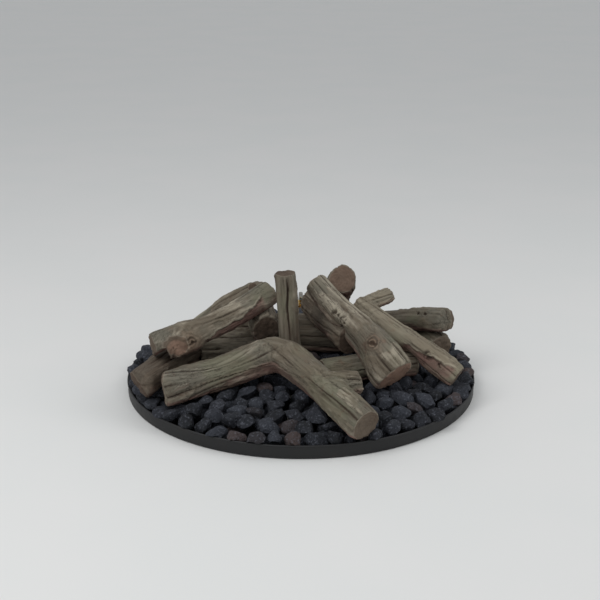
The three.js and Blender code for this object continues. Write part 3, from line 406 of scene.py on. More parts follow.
def fine_copy(node, cutters):
    """A log's CAD shape as an even mesh of small faces, less the cutters."""
    copy = new_object("fine_" + node.name, node.data.copy())
    for cutter in cutters:
        add_boolean(copy, "DIFFERENCE", cutter)
    remesh = copy.modifiers.new("Even", "REMESH")
    remesh.mode = "VOXEL"
    remesh.voxel_size = BARK_VOXEL
    mesh = baked_mesh(copy)
    bpy.data.objects.remove(copy)
    return mesh


def rounded(points, edges, share):
    """Points drawn towards their neighbours in rounds, each by its own share."""
    count = np.maximum(np.bincount(edges.ravel(), minlength=len(points)), 1)
    for _ in range(ROUNDING):
        for axis in range(3):
            values = points[:, axis]
            total = np.bincount(edges[:, 0], values[edges[:, 1]], len(points))
            total += np.bincount(edges[:, 1], values[edges[:, 0]], len(points))
            points[:, axis] = values + 0.5 * share * (total / count - values)
    return points


def straight_limb(points):
    """The axis of a log with one limb, as two ends."""
    centre = points.mean(axis=0)
    _, _, rows = np.linalg.svd(points - centre, full_matrices=False)
    along = (points - centre) @ rows[0]
    return centre + rows[0] * along.min(), centre + rows[0] * along.max()


def planned_limb(points, plan):
    """The axis of one limb of a forked log, whose height is fitted to the log's own points."""
    start, end = (np.array(place) for place in plan)
    step = end - start
    length = np.hypot(*step)
    share = (points[:, :2] - start) @ step / length**2
    aside = np.abs(np.cross(step / length, points[:, :2] - start))
    near = (share > 0) & (share < 1) & (aside < LIMB_REACH)
    slope, level = np.polyfit(share[near], points[near, 2], 1)
    return np.append(start, level), np.append(end, level + slope)


def log_limbs(name):
    """The axes of a log's limbs."""
    points = rows_of(frame["nodes"][name].data.vertices, "co")
    if name in LIMBS:
        return [planned_limb(points, plan) for plan in LIMBS[name]]
    return [straight_limb(points)]


def limb_places(points, ends):
    """Where points lie about a limb: distance along it, the cosine and sine of the turn from its upper
    side, distance from its axis, and distance from its nearest point."""
    start, end = ends
    length = np.linalg.norm(end - start)
    aim = (end - start) / length
    across = np.cross(aim, (0, 0, 1)) if abs(aim[2]) < STEEP_LIMB else np.cross(aim, (0, 1, 0))
    across /= np.linalg.norm(across)
    upper = np.cross(across, aim)
    offset = points - start
    along = offset @ aim
    x, y = offset @ upper, offset @ across
    out = np.hypot(x, y) + 1e-9
    far = np.hypot(out, np.maximum(0, np.maximum(-along, along - length)))
    return SimpleNamespace(along=along, cos=x / out, sin=y / out, out=out, far=far, aim=aim)


def limb_shares(places):
    """How much each point belongs to each limb."""
    nearness = np.array([np.exp(-LIMB_HARDNESS * place.far / LIMB_REACH) for place in places])
    return nearness / nearness.sum(axis=0)


def slant_share(points, sawn, cutter, old_end):
    """How sawn each point is on a log whose old end was cut off on a slant."""
    face = BVHTree.FromObject(cutter, bpy.context.evaluated_depsgraph_get())
    gaps = np.array([face.find_nearest(Vector(point))[3] for point in points])
    old = patch(distances(points, old_end), SLANT_REACH, 8)
    return np.maximum(sawn * (1 - old), ramp(-gaps, -2 * BARK_VOXEL, -BARK_VOXEL))



def bark_relief(place, style, under, grooved, seed):
    """How far bark stands out at each point, and how much of it is loose bark and crack."""
    along, cos, sin = place.along, place.cos, place.sin
    radius = np.median(place.out)

    def noise(form):
        lengthwise, around, step, octaves = BARK_NOISE[form]
        spots = np.column_stack([along * lengthwise, cos * radius * around, sin * radius * around])
        return rough_noise(spots, seed + step, octaves)

    sway = 1.5 * noise("sway") + 0.5 * noise("fine_sway")
    turn = style["ridges"] * np.arctan2(sin, cos) + sway
    crack = groove(turn / 2, CRACK_WIDTH)
    crack *= np.maximum(ramp(noise("open_cracks"), *CRACK_OPENING), grooved)
    split = groove(turn * 1.5 + 2 * sway, SPLIT_WIDTH)
    split *= np.maximum(ramp(noise("open_splits"), *SPLIT_OPENING), grooved)
    ridges = noise("ridges") + 0.6 * noise("fine_ridges")
    bark = ramp(noise("loose") + style["bark"] + 0.5 * under, *LOOSE_BARK_EDGE)
    relief = LUMP_HEIGHT * noise("lumps") + RIDGE_HEIGHT * ridges + FINE_HEIGHT * noise("fine")
    relief += LOOSE_BARK_HEIGHT * bark * (1 + 0.6 * noise("chips"))
    relief -= style["crack"] * crack + SPLIT_DEPTH * style["crack"] * split
    return relief, bark, np.clip(crack + 0.5 * split, 0, 1)


def growth_rings(out, wander):
    """Growth rings at distances from the pith, as waves between -1 and 1."""
    return np.cos(math.tau * out / SAWN_RING + 2.6 * wander)


def sawn_relief(place, seed):
    """How far a sawn end stands out at each point, and its growth rings."""
    cos, sin, out = place.cos, place.sin, place.out
    flat = np.column_stack([cos * out * SAWN_GRAIN, sin * out * SAWN_GRAIN, np.zeros(len(out))])
    wander = smooth_noise(flat, seed)
    rings = growth_rings(out, wander)
    split = SAWN_SPLIT_DEPTH * groove(2.5 * np.arctan2(sin, cos) + wander, SAWN_SPLIT_WIDTH)
    worn = SAWN_WEAR * rough_noise(flat * 2.5, seed + 3, 3)
    relief = SAWN_RING_HEIGHT * rings + worn - split * ramp(out, *SAWN_HEART) + SAWN_WAVE * wander
    return relief, rings


def limb_reliefs(places, shares, style, under, grooved, sawn, seed):
    """Every limb's bark and sawn ends, blended by the shares: relief, loose bark, cracks, growth rings,
    and the grain's places."""
    relief, bark, cracks, rings = (np.zeros(len(sawn)) for _ in range(4))
    grain = np.zeros((len(sawn), 3))
    for index, (place, share) in enumerate(zip(places, shares)):
        limb_seed = seed + 31 * index
        side, loose, open_cracks = bark_relief(place, style, under, grooved, limb_seed)
        end, growth = sawn_relief(place, limb_seed + 17)
        relief += share * (side * (1 - sawn) + end * sawn)
        bark += share * loose * (1 - sawn)
        cracks += share * open_cracks * (1 - sawn)
        rings += share * growth * sawn
        lengthwise = place.along + 0.7 * index
        around = (place.cos * place.out, place.sin * place.out)
        grain += share[:, None] * np.column_stack([lengthwise, *around])
    return relief, bark, cracks, rings, grain


def knot_relief(points, style, tree):
    """Raised rings round each knot with a split heart, and where the knots are."""
    relief, marks = np.zeros(len(points)), np.zeros(len(points))
    for *pixel, size in style["knots"]:
        middle = seen_place(tree, *pixel)
        away = distances(points, middle) * (1 + 0.2 * smooth_noise(points * 90, 41))
        level = (points - middle)[:, 2] + 0.0025 * smooth_noise(points * 130, 43)
        fall = patch(away, size, 2)
        heart = np.exp(-((away / (KNOT_HEART * size)) ** 4) - (level / (KNOT_SPLIT * size)) ** 2)
        rings = KNOT_RING_HEIGHT * fall * np.cos(math.tau * away / (KNOT_RING * size))
        relief += rings - KNOT_SPLIT_DEPTH * heart
        marks = np.maximum(marks, fall)
    return relief, marks


def spot_share(points, spots, tree):
    """How much each point lies in one of the spots."""
    share = np.zeros(len(points))
    for *pixel, size in spots:
        share = np.maximum(share, patch(distances(points, seen_place(tree, *pixel)), size, 4))
    return share


def pit_share(points, style, tree):
    """How much each point lies in a pit."""
    share = spot_share(points, style["pits"], tree)
    if style["pits"]:
        share *= ramp(rough_noise(points * PIT_GRAIN, 61, 2), *PIT_EDGE)
    return share


def knot_face_relief(points, normals, style, tree, seed):
    """A sawn off branch: where its face lies, its growth rings, and the splits from its heart."""
    *pixel, size = style["knot_face"]
    hit, normal, _, _ = tree.ray_cast(*pixel_ray(*pixel))
    normal = np.array(normal)
    offset = points - np.array(hit)
    flat = offset - np.outer(offset @ normal, normal)
    out = np.linalg.norm(flat, axis=1)
    face = ramp(normals @ normal, *FACE_FACING) * patch(np.linalg.norm(offset, axis=1), size, 6)
    wander = smooth_noise(flat * SAWN_GRAIN, seed)
    side = np.cross(normal, (0, 0, 1))
    turn = np.arctan2(flat[:, 2], flat @ side)
    splits = groove(4.5 * turn + 1.6 * wander, FACE_SPLIT_WIDTH)
    splits *= ramp(out, *FACE_HEART) * ramp(smooth_noise(flat * 150, seed + 1), *FACE_SPLIT_OPENING)
    return face, growth_rings(out, wander), face * splits


def ledge_relief(place, ends, style, tree, seed):
    """Torn ledges: how deep each point lies below one, how much it shows inner bark, and how near it is
    to a torn edge."""
    depth, inner, edge = (np.zeros(len(place.along)) for _ in range(3))
    for drop, width, *marks in style["ledges"]:
        seen = limb_places(np.array([seen_place(tree, *mark) for mark in marks]), ends)
        turns = np.arctan2(seen.sin, seen.cos)
        side = np.sign(turns.mean())
        order = np.argsort(seen.along)
        first, last = seen.along.min(), seen.along.max()
        along, turn = place.along, side * np.arctan2(place.sin, place.cos)
        jag = rough_noise(np.column_stack([along * LEDGE_JAG_GRAIN, turn * 0, turn * 0]), seed, 3)
        below = turn - np.interp(along, seen.along[order], side * turns[order]) - LEDGE_JAG * jag
        inside = ramp(along, first - LEDGE_FADE, first + LEDGE_FADE)
        inside *= ramp(-along, -last - LEDGE_FADE, -last + LEDGE_FADE)
        under = inside * ramp(below, 0, LEDGE_EDGE) * ramp(width - below, 0, max(LEDGE_EDGE, 0.4 * width))
        depth = np.maximum(depth, drop * under)
        inner = np.maximum(inner, under)
        edge = np.maximum(edge, inside * patch(below - LEDGE_LIP, LEDGE_LIP_WIDTH, 2))
    return depth, inner, edge


def log_solid(name, style, tree, limbs):
    """A log as an even, rounded mesh, less its cuts. With it come its points, their normals, places about
    each limb and shares in it, and how sawn they are."""
    slant = style["slant"]
    cutters = [view_cutter(tree, *cut) for cut in (*style["cuts"], *([slant] if slant else []))]
    mesh = fine_copy(frame["nodes"][name], cutters)
    points, normals = rows_of(mesh.vertices, "co"), rows_of(mesh.vertex_normals, "vector")
    places = [limb_places(points, ends) for ends in limbs]
    shares = limb_shares(places)
    facing = sum(share * np.abs(normals @ place.aim) for share, place in zip(shares, places))
    sawn, firm = ramp(facing, *SAWN_FACING), ramp(facing, *FIRM_FACING)
    if slant:
        sawn = firm = slant_share(points, sawn, cutters[-1], seen_place(tree, *slant[1]))
    for cutter in cutters:
        bpy.data.objects.remove(cutter)
    edges = rows_of(mesh.edges, "vertices", 2, np.int64)
    return mesh, rounded(points, edges, 1 - END_FIRMNESS * firm), normals, places, shares, sawn


def shape_log(name, seed):
    """A log's cast surface: the CAD solid with bark, cracks, knots and sawn ends worked into it."""
    style = {**PLAIN_BARK, **BARKS.get(name, {})}
    tree, limbs = node_tree(name), log_limbs(name)
    mesh, points, normals, places, shares, sawn = log_solid(name, style, tree, limbs)
    under = ramp(-normals[:, 2], *UNDER_FACING)
    grooved = spot_share(points, style["grooves"], tree)
    knots, knot_marks = knot_relief(points, style, tree)
    pits = pit_share(points, style, tree)
    torn, inner, lip = ledge_relief(places[0], limbs[0], style, tree, seed + 5)
    relief, bark, cracks, rings, grain = limb_reliefs(places, shares, style, under, grooved, sawn, seed)
    bark *= 1 - inner
    cracks = np.maximum(cracks * (1 - 0.6 * knot_marks), pits)
    relief = relief * (1 - 0.7 * knot_marks) + knots - torn - PIT_DEPTH * pits
    points = points + normals * relief[:, None]
    tone = style["tone"] + (style["end_tone"] - style["tone"]) * sawn
    if style["knot_face"]:
        face, growth, splits = knot_face_relief(points, normals, style, tree, seed + 7)
        points -= normals * (FACE_SPLIT_DEPTH * splits + FACE_RING_HEIGHT * face * growth)[:, None]
        sawn = np.maximum(sawn, face)
        rings = rings + (growth - rings) * face
        cracks = cracks * (1 - face) + 0.8 * splits
        under = under * (1 - face)
        tone = tone + (FACE_TONE - tone) * face
    # The height mark's low values paint shade into the hollows. Its high values, with the torn lips, paint
    # pale ridges that are partly a painted highlight.
    height = np.clip(0.5 + (relief + 0.95 * torn) / MARK_RANGE + 0.3 * lip + 0.14 * inner, 0, 1)
    mesh.vertices.foreach_set("co", points.ravel())
    keep_colour(mesh, "marks", height, bark, cracks, knot_marks)
    keep_colour(mesh, "ends", sawn, 0.5 + 0.5 * rings, np.maximum(under, inner), tone)
    mesh.attributes.new("grain", "FLOAT_VECTOR", "POINT").data.foreach_set("vector", grain.ravel())
    dress_log(name, mesh)


def dress_log(name, mesh):
    """Lets a log's cast surface take the place of its node."""
    mesh.materials.clear()
    mesh.materials.append(cast_log_material())
    mesh.shade_smooth()
    piece = new_object(name.replace("_log", "_bark"), mesh)
    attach(piece, frame["nodes"][name]["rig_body"])
    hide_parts(name)


# The bed falls from its crown to its skirt, and each layer of stones lies on rings.
BED_RADIUS = 0.373
BED_SKIRT = 0.040
BED_ROUNDNESS = 4
TIER_SPLIT = 0.224
BED_LAYERS = (
    {"sink": 0.015, "pitch": 0.0385, "rim": 0.353, "ring_step": 0.0355},
    {"sink": 0.034, "pitch": 0.042, "rim": 0.334, "ring_step": 0.039},
)

# How stones lie: shifts as shares of their pitch and of the step between rings, and a rise
SHIFT_ROUND = (-0.16, 0.16)
SHIFT_OUT = (-0.2, 0.12)
SHIFT_UP = (-0.003, 0.003)
STONE_TILT = 0.35
STONE_CLEARANCE = 0.001

# A stone's half thickness, as a share of its size. Shares of that half are where it is probed for room and
# how far it reaches up there, how far it may sink, and how low it may lie.
STONE_HALF = 0.38
STONE_PROBES = ((0, 0, 1), (0.55, 0, 0.8), (-0.55, 0, 0.8), (0, 0.55, 0.8), (0, -0.55, 0.8))
MOST_SUNK = 0.7
LEAST_HEIGHT = 0.5

# The stones' shapes, as shares of their radius. A facet's depth is the share of the reach that it leaves.
STONE_SIZE = 0.045
STONE_SIZES = (0.8, 1.16)
STONE_SHAPES = 12
STONE_LENGTH = 1.12
STONE_WIDTHS = (0.84, 1.0)
STONE_DEPTHS = (0.68, 0.84)
STONE_FACETS = 11
FACET_DEPTHS = (0.56, 0.84)
STONE_BULGE = 0.11
STONE_LUMP = 0.03
STONE_GRAIN = 0.02
STONE_PIT = 0.06
STONE_PIT_EDGE = (0.35, 0.75)


def unit_ball():
    """The points and faces of an even ball."""
    bpy.ops.mesh.primitive_ico_sphere_add(subdivisions=3, radius=1)
    ball = bpy.context.active_object
    mesh = ball.data
    points = rows_of(mesh.vertices, "co")
    faces = np.array([tuple(face.vertices) for face in mesh.polygons])
    bpy.data.objects.remove(ball)
    bpy.data.meshes.remove(mesh)
    return points, faces


def stone_shape(index):
    """One stone as points of unit size and its faces: a broken lump with worn edges."""
    chance = random.Random(700 + index)
    points, faces = unit_ball()
    points *= np.array([STONE_LENGTH, chance.uniform(*STONE_WIDTHS), chance.uniform(*STONE_DEPTHS)])
    points += STONE_BULGE * points * smooth_noise(points * 1.3 + index * 5, index + 20)[:, None]
    for _ in range(STONE_FACETS):
        face = np.array(Vector(chance.gauss(0, 1) for _ in range(3)).normalized())
        reach = (points @ face).max()
        over = points @ face - reach * chance.uniform(*FACET_DEPTHS)
        points -= np.maximum(0, over)[:, None] * face
    away = points / np.linalg.norm(points, axis=1)[:, None]
    relief = STONE_LUMP * rough_noise(points * 2.4 + index * 7, index, 2)
    relief += STONE_GRAIN * rough_noise(points * 7, index + 50, 2)
    relief -= STONE_PIT * ramp(smooth_noise(points * 7.5, index + 90), *STONE_PIT_EDGE)
    return points + away * relief[:, None], faces


def bed_height(radius):
    """The height of the stones' tops in the CAD bed, which the single stones follow."""
    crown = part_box("lava_bed_inner_right")[1].z
    return crown - (crown - BED_SKIRT) * min(1, radius / BED_RADIUS) ** BED_ROUNDNESS


def stone_places():
    """The stones' places and sizes, ring by ring from the rim inwards, in two layers."""
    chance = random.Random(11)
    for layer in BED_LAYERS:
        radius = layer["rim"]
        while radius > 0.5 * layer["ring_step"]:
            count = max(1, round(math.tau * radius / layer["pitch"]))
            start = chance.uniform(0, math.tau)
            for i in range(count):
                turn = start + math.tau * (i + chance.uniform(*SHIFT_ROUND)) / count
                out = radius + chance.uniform(*SHIFT_OUT) * layer["ring_step"]
                size = STONE_SIZE * chance.uniform(*STONE_SIZES)
                height = bed_height(out) - layer["sink"] + chance.uniform(*SHIFT_UP)
                yield Vector((out * math.cos(turn), out * math.sin(turn), height)), size
            radius -= layer["ring_step"]


def room_for_stone(centre, half, trees):
    """The height at which a stone fits under the logs, or None where a log leaves no room."""
    height = centre.z
    for x, y, reach in STONE_PROBES:
        low = Vector((centre.x + half * x, centre.y + half * y, 0))
        for tree in trees:
            hit = tree.ray_cast(low, Vector((0, 0, 1)))[0]
            if hit is not None and hit.z < height + half * reach:
                height = hit.z - half * reach - STONE_CLEARANCE
    lowest = max(centre.z - MOST_SUNK * half, LEAST_HEIGHT * half)
    return height if height > lowest else None


def sector_of(centre):
    """The bed node that a stone belongs to."""
    turn = math.atan2(centre.y, centre.x) % math.tau
    if math.hypot(centre.x, centre.y) > TIER_SPLIT:
        names = ("right_rear", "rear", "left_rear", "left_front", "front", "right_front")
    else:
        names = ("inner_right", "inner_left", "inner_front")
    return "lava_bed_" + names[int(turn / math.tau * len(names)) % len(names)]


def tumbled(chance):
    """A random turn for a stone, which mostly lies flat."""
    tilt = Vector((chance.gauss(0, STONE_TILT), chance.gauss(0, STONE_TILT), 1)).to_track_quat("Z", "Y")
    return np.array(tilt.to_matrix() @ Matrix.Rotation(chance.uniform(0, math.tau), 3, "Z"))


def held_in_pan(points):
    """A stone's points, kept above the pan's floor and inside its wall."""
    points[:, 2] = np.maximum(points[:, 2], 2 * PAN_SHEET)
    out = np.hypot(points[:, 0], points[:, 1])
    wall = PAN_RADIUS - 2 * PAN_BEAD - STONE_CLEARANCE
    share = np.where(points[:, 2] < PAN_HEIGHT + STONE_CLEARANCE, np.minimum(1, wall / out), 1)
    points[:, :2] *= share[:, None]
    return points


def lay_stones():
    """Single stones over each sector of the bed, cleared where the logs lie."""
    shapes = [stone_shape(index) for index in range(STONE_SHAPES)]
    trees = [node_tree(name) for name in log_names()]
    chance = random.Random(5)
    sectors = {name: [] for name in frame["nodes"] if name.startswith("lava_bed_")}
    for centre, size in stone_places():
        height = room_for_stone(centre, STONE_HALF * size, trees)
        points, faces = shapes[chance.randrange(STONE_SHAPES)]
        spin = tumbled(chance)
        tone, red = chance.random(), chance.random()
        if height is not None:
            placed = (points * size / 2) @ spin.T + np.array((centre.x, centre.y, height))
            sectors[sector_of(centre)].append((held_in_pan(placed), faces, tone, red))
    for name, stones in sectors.items():
        join_stones(name, stones)


def join_stones(name, stones):
    """One sector's stones as one piece, each stone with its own tone and redness."""
    counts = [len(placed) for placed, _, _, _ in stones]
    starts = np.cumsum([0] + counts[:-1])
    points = np.vstack([placed for placed, _, _, _ in stones])
    faces = np.vstack([corners + start for (_, corners, _, _), start in zip(stones, starts)])
    own = [np.tile((tone, red, 0, 1), (count, 1)) for (_, _, tone, red), count in zip(stones, counts)]
    mesh = new_mesh(name + "_stones", points.tolist(), faces.tolist())
    keep_colour(mesh, "stone", np.vstack(own))
    mesh.materials.append(lava_material())
    mesh.shade_smooth()
    mesh.set_sharp_from_angle(angle=math.radians(30))
    piece = new_object(name.replace("lava_bed", "stones"), mesh)
    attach(piece, frame["nodes"][name]["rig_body"])
    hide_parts(name)



def linear(code):
    """A colour written as six hex digits, as linear red, green, blue and alpha."""
    levels = [int(code[i : i + 2], 16) / 255 for i in (0, 2, 4)]
    return (*(level / 12.92 if level <= 0.04045 else ((level + 0.055) / 1.055) ** 2.4 for level in levels), 1)


class Nodes:
    """A material under construction, with short calls for the nodes that it uses."""

    def __init__(self, name):
        self.material = bpy.data.materials.new(name)
        self.material.use_nodes = True
        self.tree = self.material.node_tree
        self.shader = self.tree.nodes["Principled BSDF"]

    def feed(self, socket, value):
        """Gives a socket a number, a vector, a colour written in hex, or another node's result."""
        if isinstance(value, (int, float, tuple)):
            socket.default_value = value
        elif isinstance(value, str):
            socket.default_value = linear(value)
        else:
            self.tree.links.new(value, socket)

    def add(self, kind, inputs, **settings):
        """Adds a node, and gives its outputs."""
        node = self.tree.nodes.new(kind)
        for key, value in settings.items():
            setattr(node, key, value)
        for key, value in inputs.items():
            self.feed(node.inputs[key], value)
        return node.outputs

    def attribute(self, name):
        return self.add("ShaderNodeAttribute", {}, attribute_name=name)

    def split(self, colour):
        return self.add("ShaderNodeSeparateColor", {0: colour})

    def place(self):
        return self.add("ShaderNodeTexCoord", {})["Object"]

    def stretch(self, vector, scale):
        return self.add("ShaderNodeMapping", {"Vector": vector, "Scale": scale})[0]

    def noise(self, vector, scale, detail, roughness):
        inputs = {"Vector": vector, "Scale": scale, "Detail": detail, "Roughness": roughness}
        return self.add("ShaderNodeTexNoise", inputs)["Fac"]

    def cells(self, vector, scale):
        return self.add("ShaderNodeTexVoronoi", {"Vector": vector, "Scale": scale})["Distance"]

    def band(self, value, low, high, start=0, end=1):
        """From start, where a value is low, smoothly to end, where it is high."""
        inputs = {"Value": value, "From Min": low, "From Max": high, "To Min": start, "To Max": end}
        return self.add("ShaderNodeMapRange", inputs, interpolation_type="SMOOTHSTEP")["Result"]

    def math(self, operation, one, other):
        return self.add("ShaderNodeMath", {0: one, 1: other}, operation=operation)[0]

    def times(self, one, other):
        return self.math("MULTIPLY", one, other)

    def blend(self, share, one, other):
        """One colour where the share is 0, and the other where it is 1."""
        return self.add("ShaderNodeMix", {0: share, 6: one, 7: other}, data_type="RGBA")[2]

    def tint(self, under, over, value, low, high, most):
        """Lays a colour over another where a value is high, and at most to a share."""
        return self.blend(self.band(value, low, high, 0, most), under, over)

    def bump(self, height, distance, strength, under=None):
        inputs = {"Height": height, "Distance": distance, "Strength": strength}
        if under is not None:
            inputs["Normal"] = under
        return self.add("ShaderNodeBump", inputs)["Normal"]

    def finish(self, colour, roughness, normal=None):
        self.feed(self.shader.inputs["Base Color"], colour)
        self.feed(self.shader.inputs["Roughness"], roughness)
        if normal is not None:
            self.feed(self.shader.inputs["Normal"], normal)
        return self.material


# Colours of the bark, of its sawn ends and of its knots
BARK = SimpleNamespace(
    brown="5b5448", straw="7d7668", grey="66645a", moss="73745f", rust="664a3b", loose="655849",
    worn="a8a08f", pale="9d937f", inner="80625a", hollow_shade="3a2a20", hair="3a3028", crack="2b211b",
    rim="90887a", shaded="4b3c33",
)
END = SimpleNamespace(
    ring="54483d", wood="5f5145", spot="483c33", dust="72675a", pale="8f7464", crack="3c2d25"
)
KNOT = SimpleNamespace(low="46362b", high="8a7664")


def wood_noises(n):
    """Streaks, fine lines and hair cracks along a log's grain, and clouds, spots and moss over it."""
    grain = n.attribute("grain")["Vector"]
    hair = n.noise(n.stretch(grain, (8, 100, 100)), 1, detail=4, roughness=0.6)
    off_middle = n.math("ABSOLUTE", n.math("SUBTRACT", hair, 0.5), 0)
    return SimpleNamespace(
        streaks=n.noise(n.stretch(grain, (9, 120, 120)), 1, detail=6, roughness=0.62),
        fine=n.noise(n.stretch(grain, (40, 420, 420)), 1, detail=5, roughness=0.6),
        hair=n.band(off_middle, 0.004, 0.022, 1, 0),
        clouds=n.noise(n.place(), 15, detail=4, roughness=0.6),
        spots=n.noise(n.place(), 52, detail=5, roughness=0.65),
        moss=n.noise(n.place(), 9, detail=3, roughness=0.5),
    )


def log_marks(n):
    """What shape_log keeps at each vertex."""
    marks, ends = n.attribute("marks"), n.attribute("ends")
    names = ("height", "bark", "crack", "knot", "sawn", "rings", "under", "tone")
    values = (*n.split(marks["Color"]), marks["Alpha"], *n.split(ends["Color"]), ends["Alpha"])
    return SimpleNamespace(**dict(zip(names, values)))


def bark_colour(n, noise, mark):
    """Grey brown bark with mossy and rusty clouds, pale ridges that are partly worn and partly a painted
    highlight, painted shade in the hollows, and dark cracks.
    """
    colour = n.blend(n.band(noise.streaks, 0.3, 0.72), BARK.brown, BARK.straw)
    colour = n.tint(colour, BARK.grey, noise.clouds, low=0.42, high=0.66, most=0.6)
    colour = n.tint(colour, BARK.moss, noise.moss, low=0.5, high=0.68, most=0.45)
    colour = n.tint(colour, BARK.rust, noise.spots, low=0.56, high=0.72, most=0.45)
    colour = n.blend(n.times(mark.bark, 0.35), colour, BARK.loose)
    # Pale on the high ridges and the torn lips: partly wear, partly a painted highlight.
    worn = n.times(n.band(mark.height, 0.54, 0.8), n.band(noise.streaks, 0.3, 0.6, 0.35, 1))
    colour = n.blend(n.times(worn, 0.7), colour, BARK.worn)
    colour = n.tint(colour, BARK.pale, mark.tone, low=0.5, high=1.0, most=0.45)
    inner = n.times(mark.under, n.band(noise.clouds, 0.35, 0.6, 0.35, 0.85))
    colour = n.blend(inner, colour, BARK.inner)
    # Painted shade: the bark darkens towards a deep brown where the height mark is low, in cracks, pits and
    # hollows.
    colour = n.tint(colour, BARK.hollow_shade, mark.height, low=0.44, high=0.14, most=0.75)
    hair = n.times(noise.hair, n.band(noise.clouds, 0.4, 0.6, 0.2, 0.6))
    colour = n.blend(hair, colour, BARK.hair)
    return n.blend(n.times(mark.crack, 0.72), colour, BARK.crack)


def end_colour(n, noise, mark):
    """Sawn wood with growth rings, spots and dust."""
    colour = n.blend(n.band(mark.rings, 0.1, 0.95), END.ring, END.wood)
    colour = n.tint(colour, END.spot, noise.spots, low=0.42, high=0.7, most=0.7)
    colour = n.tint(colour, END.dust, noise.clouds, low=0.42, high=0.68, most=0.6)
    colour = n.tint(colour, END.pale, mark.tone, low=0.5, high=0.9, most=0.75)
    return n.blend(n.times(mark.crack, 0.8), colour, END.crack)


@functools.cache
def cast_log_material():
    """Cast refractory, tinted as weathered wood, with sawn ends, a pale painted highlight on the rims round
    them, and knots.
    """
    n = Nodes("cast_log")
    noise, mark = wood_noises(n), log_marks(n)
    colour = n.blend(mark.sawn, bark_colour(n, noise, mark), end_colour(n, noise, mark))
    # Painted highlight: a pale band along the rim of each sawn end.
    rim = n.times(n.band(mark.sawn, 0.05, 0.4), n.band(mark.sawn, 0.95, 0.6))
    colour = n.blend(n.times(rim, 0.45), colour, BARK.rim)
    knot = n.blend(n.band(mark.height, 0.42, 0.6), KNOT.low, KNOT.high)
    colour = n.blend(n.times(mark.knot, 0.85), colour, knot)
    # A tone under 0.5 darkens towards a shaded brown. It varies from log to log, and on left_base_log it is
    # painted shade.
    colour = n.tint(colour, BARK.shaded, mark.tone, low=0.5, high=0.0, most=0.5)
    grit = n.noise(n.place(), 420, detail=3, roughness=0.7)
    normal = n.bump(noise.streaks, distance=0.0018, strength=0.6)
    normal = n.bump(n.math("SUBTRACT", 1, noise.hair), distance=0.0009, strength=0.6, under=normal)
    normal = n.bump(noise.fine, distance=0.0006, strength=0.6, under=normal)
    normal = n.bump(grit, distance=0.0003, strength=0.5, under=normal)
    n.shader.inputs["Specular IOR Level"].default_value = 0.25
    return n.finish(colour, n.band(noise.fine, 0.3, 0.7, 0.78, 0.96), normal)


LAVA = SimpleNamespace(
    black="15171b", grey="33363d", cloud="282a31", rust="4e403c", dust="6c6f78", pore="131417"
)


@functools.cache
def lava_material():
    """Lava rock: blue black to grey, porous, a few stones rust brown, with pale specks that are partly dust
    and partly painted small highlights.
    """
    n = Nodes("lava_rock")
    tone, red, _ = n.split(n.attribute("stone")["Color"])
    place = n.place()
    pores = n.cells(place, 330)
    fine = n.noise(place, 210, detail=5, roughness=0.7)
    broad = n.noise(place, 34, detail=4, roughness=0.6)
    lumps = n.noise(place, 90, detail=4, roughness=0.6)
    colour = n.blend(n.band(tone, 0.0, 1.0), LAVA.black, LAVA.grey)
    colour = n.tint(colour, LAVA.cloud, broad, low=0.4, high=0.68, most=0.6)
    colour = n.tint(colour, LAVA.rust, red, low=0.9, high=0.97, most=0.6)
    # Pale specks over the stones: partly dust, partly painted small highlights.
    colour = n.tint(colour, LAVA.dust, fine, low=0.5, high=0.7, most=0.6)
    colour = n.tint(colour, LAVA.pore, pores, low=0.34, high=0.12, most=0.6)
    normal = n.bump(n.band(pores, 0.1, 0.5), distance=0.0012, strength=0.8)
    normal = n.bump(fine, distance=0.0014, strength=0.8, under=normal)
    normal = n.bump(lumps, distance=0.0034, strength=0.8, under=normal)
    n.shader.inputs["Specular IOR Level"].default_value = 0.3
    return n.finish(colour, n.band(fine, 0.3, 0.7, 0.72, 0.95), normal)


# Finishes: dark and light tone, stains, roughness, metallic, scratches and clouds to the metre
FINISHES = {
    "pan_steel": ("08080a", "131314", "1f1915", 0.56, 0.0, (1, 1, 1), 30),
    "burner_steel": ("77766f", "a6a49b", "6a5544", 0.36, 1.0, (1, 0.06, 1), 60),
    "brass": ("8a6a32", "c4a05a", "5f4a2c", 0.3, 1.0, (1, 1, 1), 60),
    "ball_chrome": ("b9bcc0", "d9dbdd", "a5a8aa", 0.12, 1.0, (1, 1, 1), 60),
    "fibre": ("3a3833", "55514a", "2b2a26", 0.9, 0.0, (1, 1, 1), 220),
    "seat_plastic": ("d2d0c8", "eceae4", "bdb9ad", 0.45, 0.0, (1, 1, 1), 90),
}


def metal_material(name, dark, light, stain, roughness, metallic, scratch, coarse):
    """A finish of the metal parts: two tones in clouds, stains, fine marks and uneven gloss."""
    n = Nodes(name)
    place = n.place()
    marks = n.noise(n.stretch(place, scratch), 900, detail=4, roughness=0.6)
    clouds = n.noise(place, coarse, detail=4, roughness=0.6)
    patches = n.noise(place, coarse * 0.4, detail=3, roughness=0.5)
    colour = n.blend(n.band(clouds, 0.35, 0.68), dark, light)
    colour = n.tint(colour, stain, patches, low=0.52, high=0.72, most=0.5)
    cloudy = n.band(clouds, 0.3, 0.7, roughness - 0.06, roughness + 0.08)
    gloss = n.math("ADD", cloudy, n.band(marks, 0.3, 0.7, -0.05, 0.05))
    n.shader.inputs["Metallic"].default_value = metallic
    return n.finish(colour, gloss, n.bump(marks, distance=0.00012, strength=0.35))


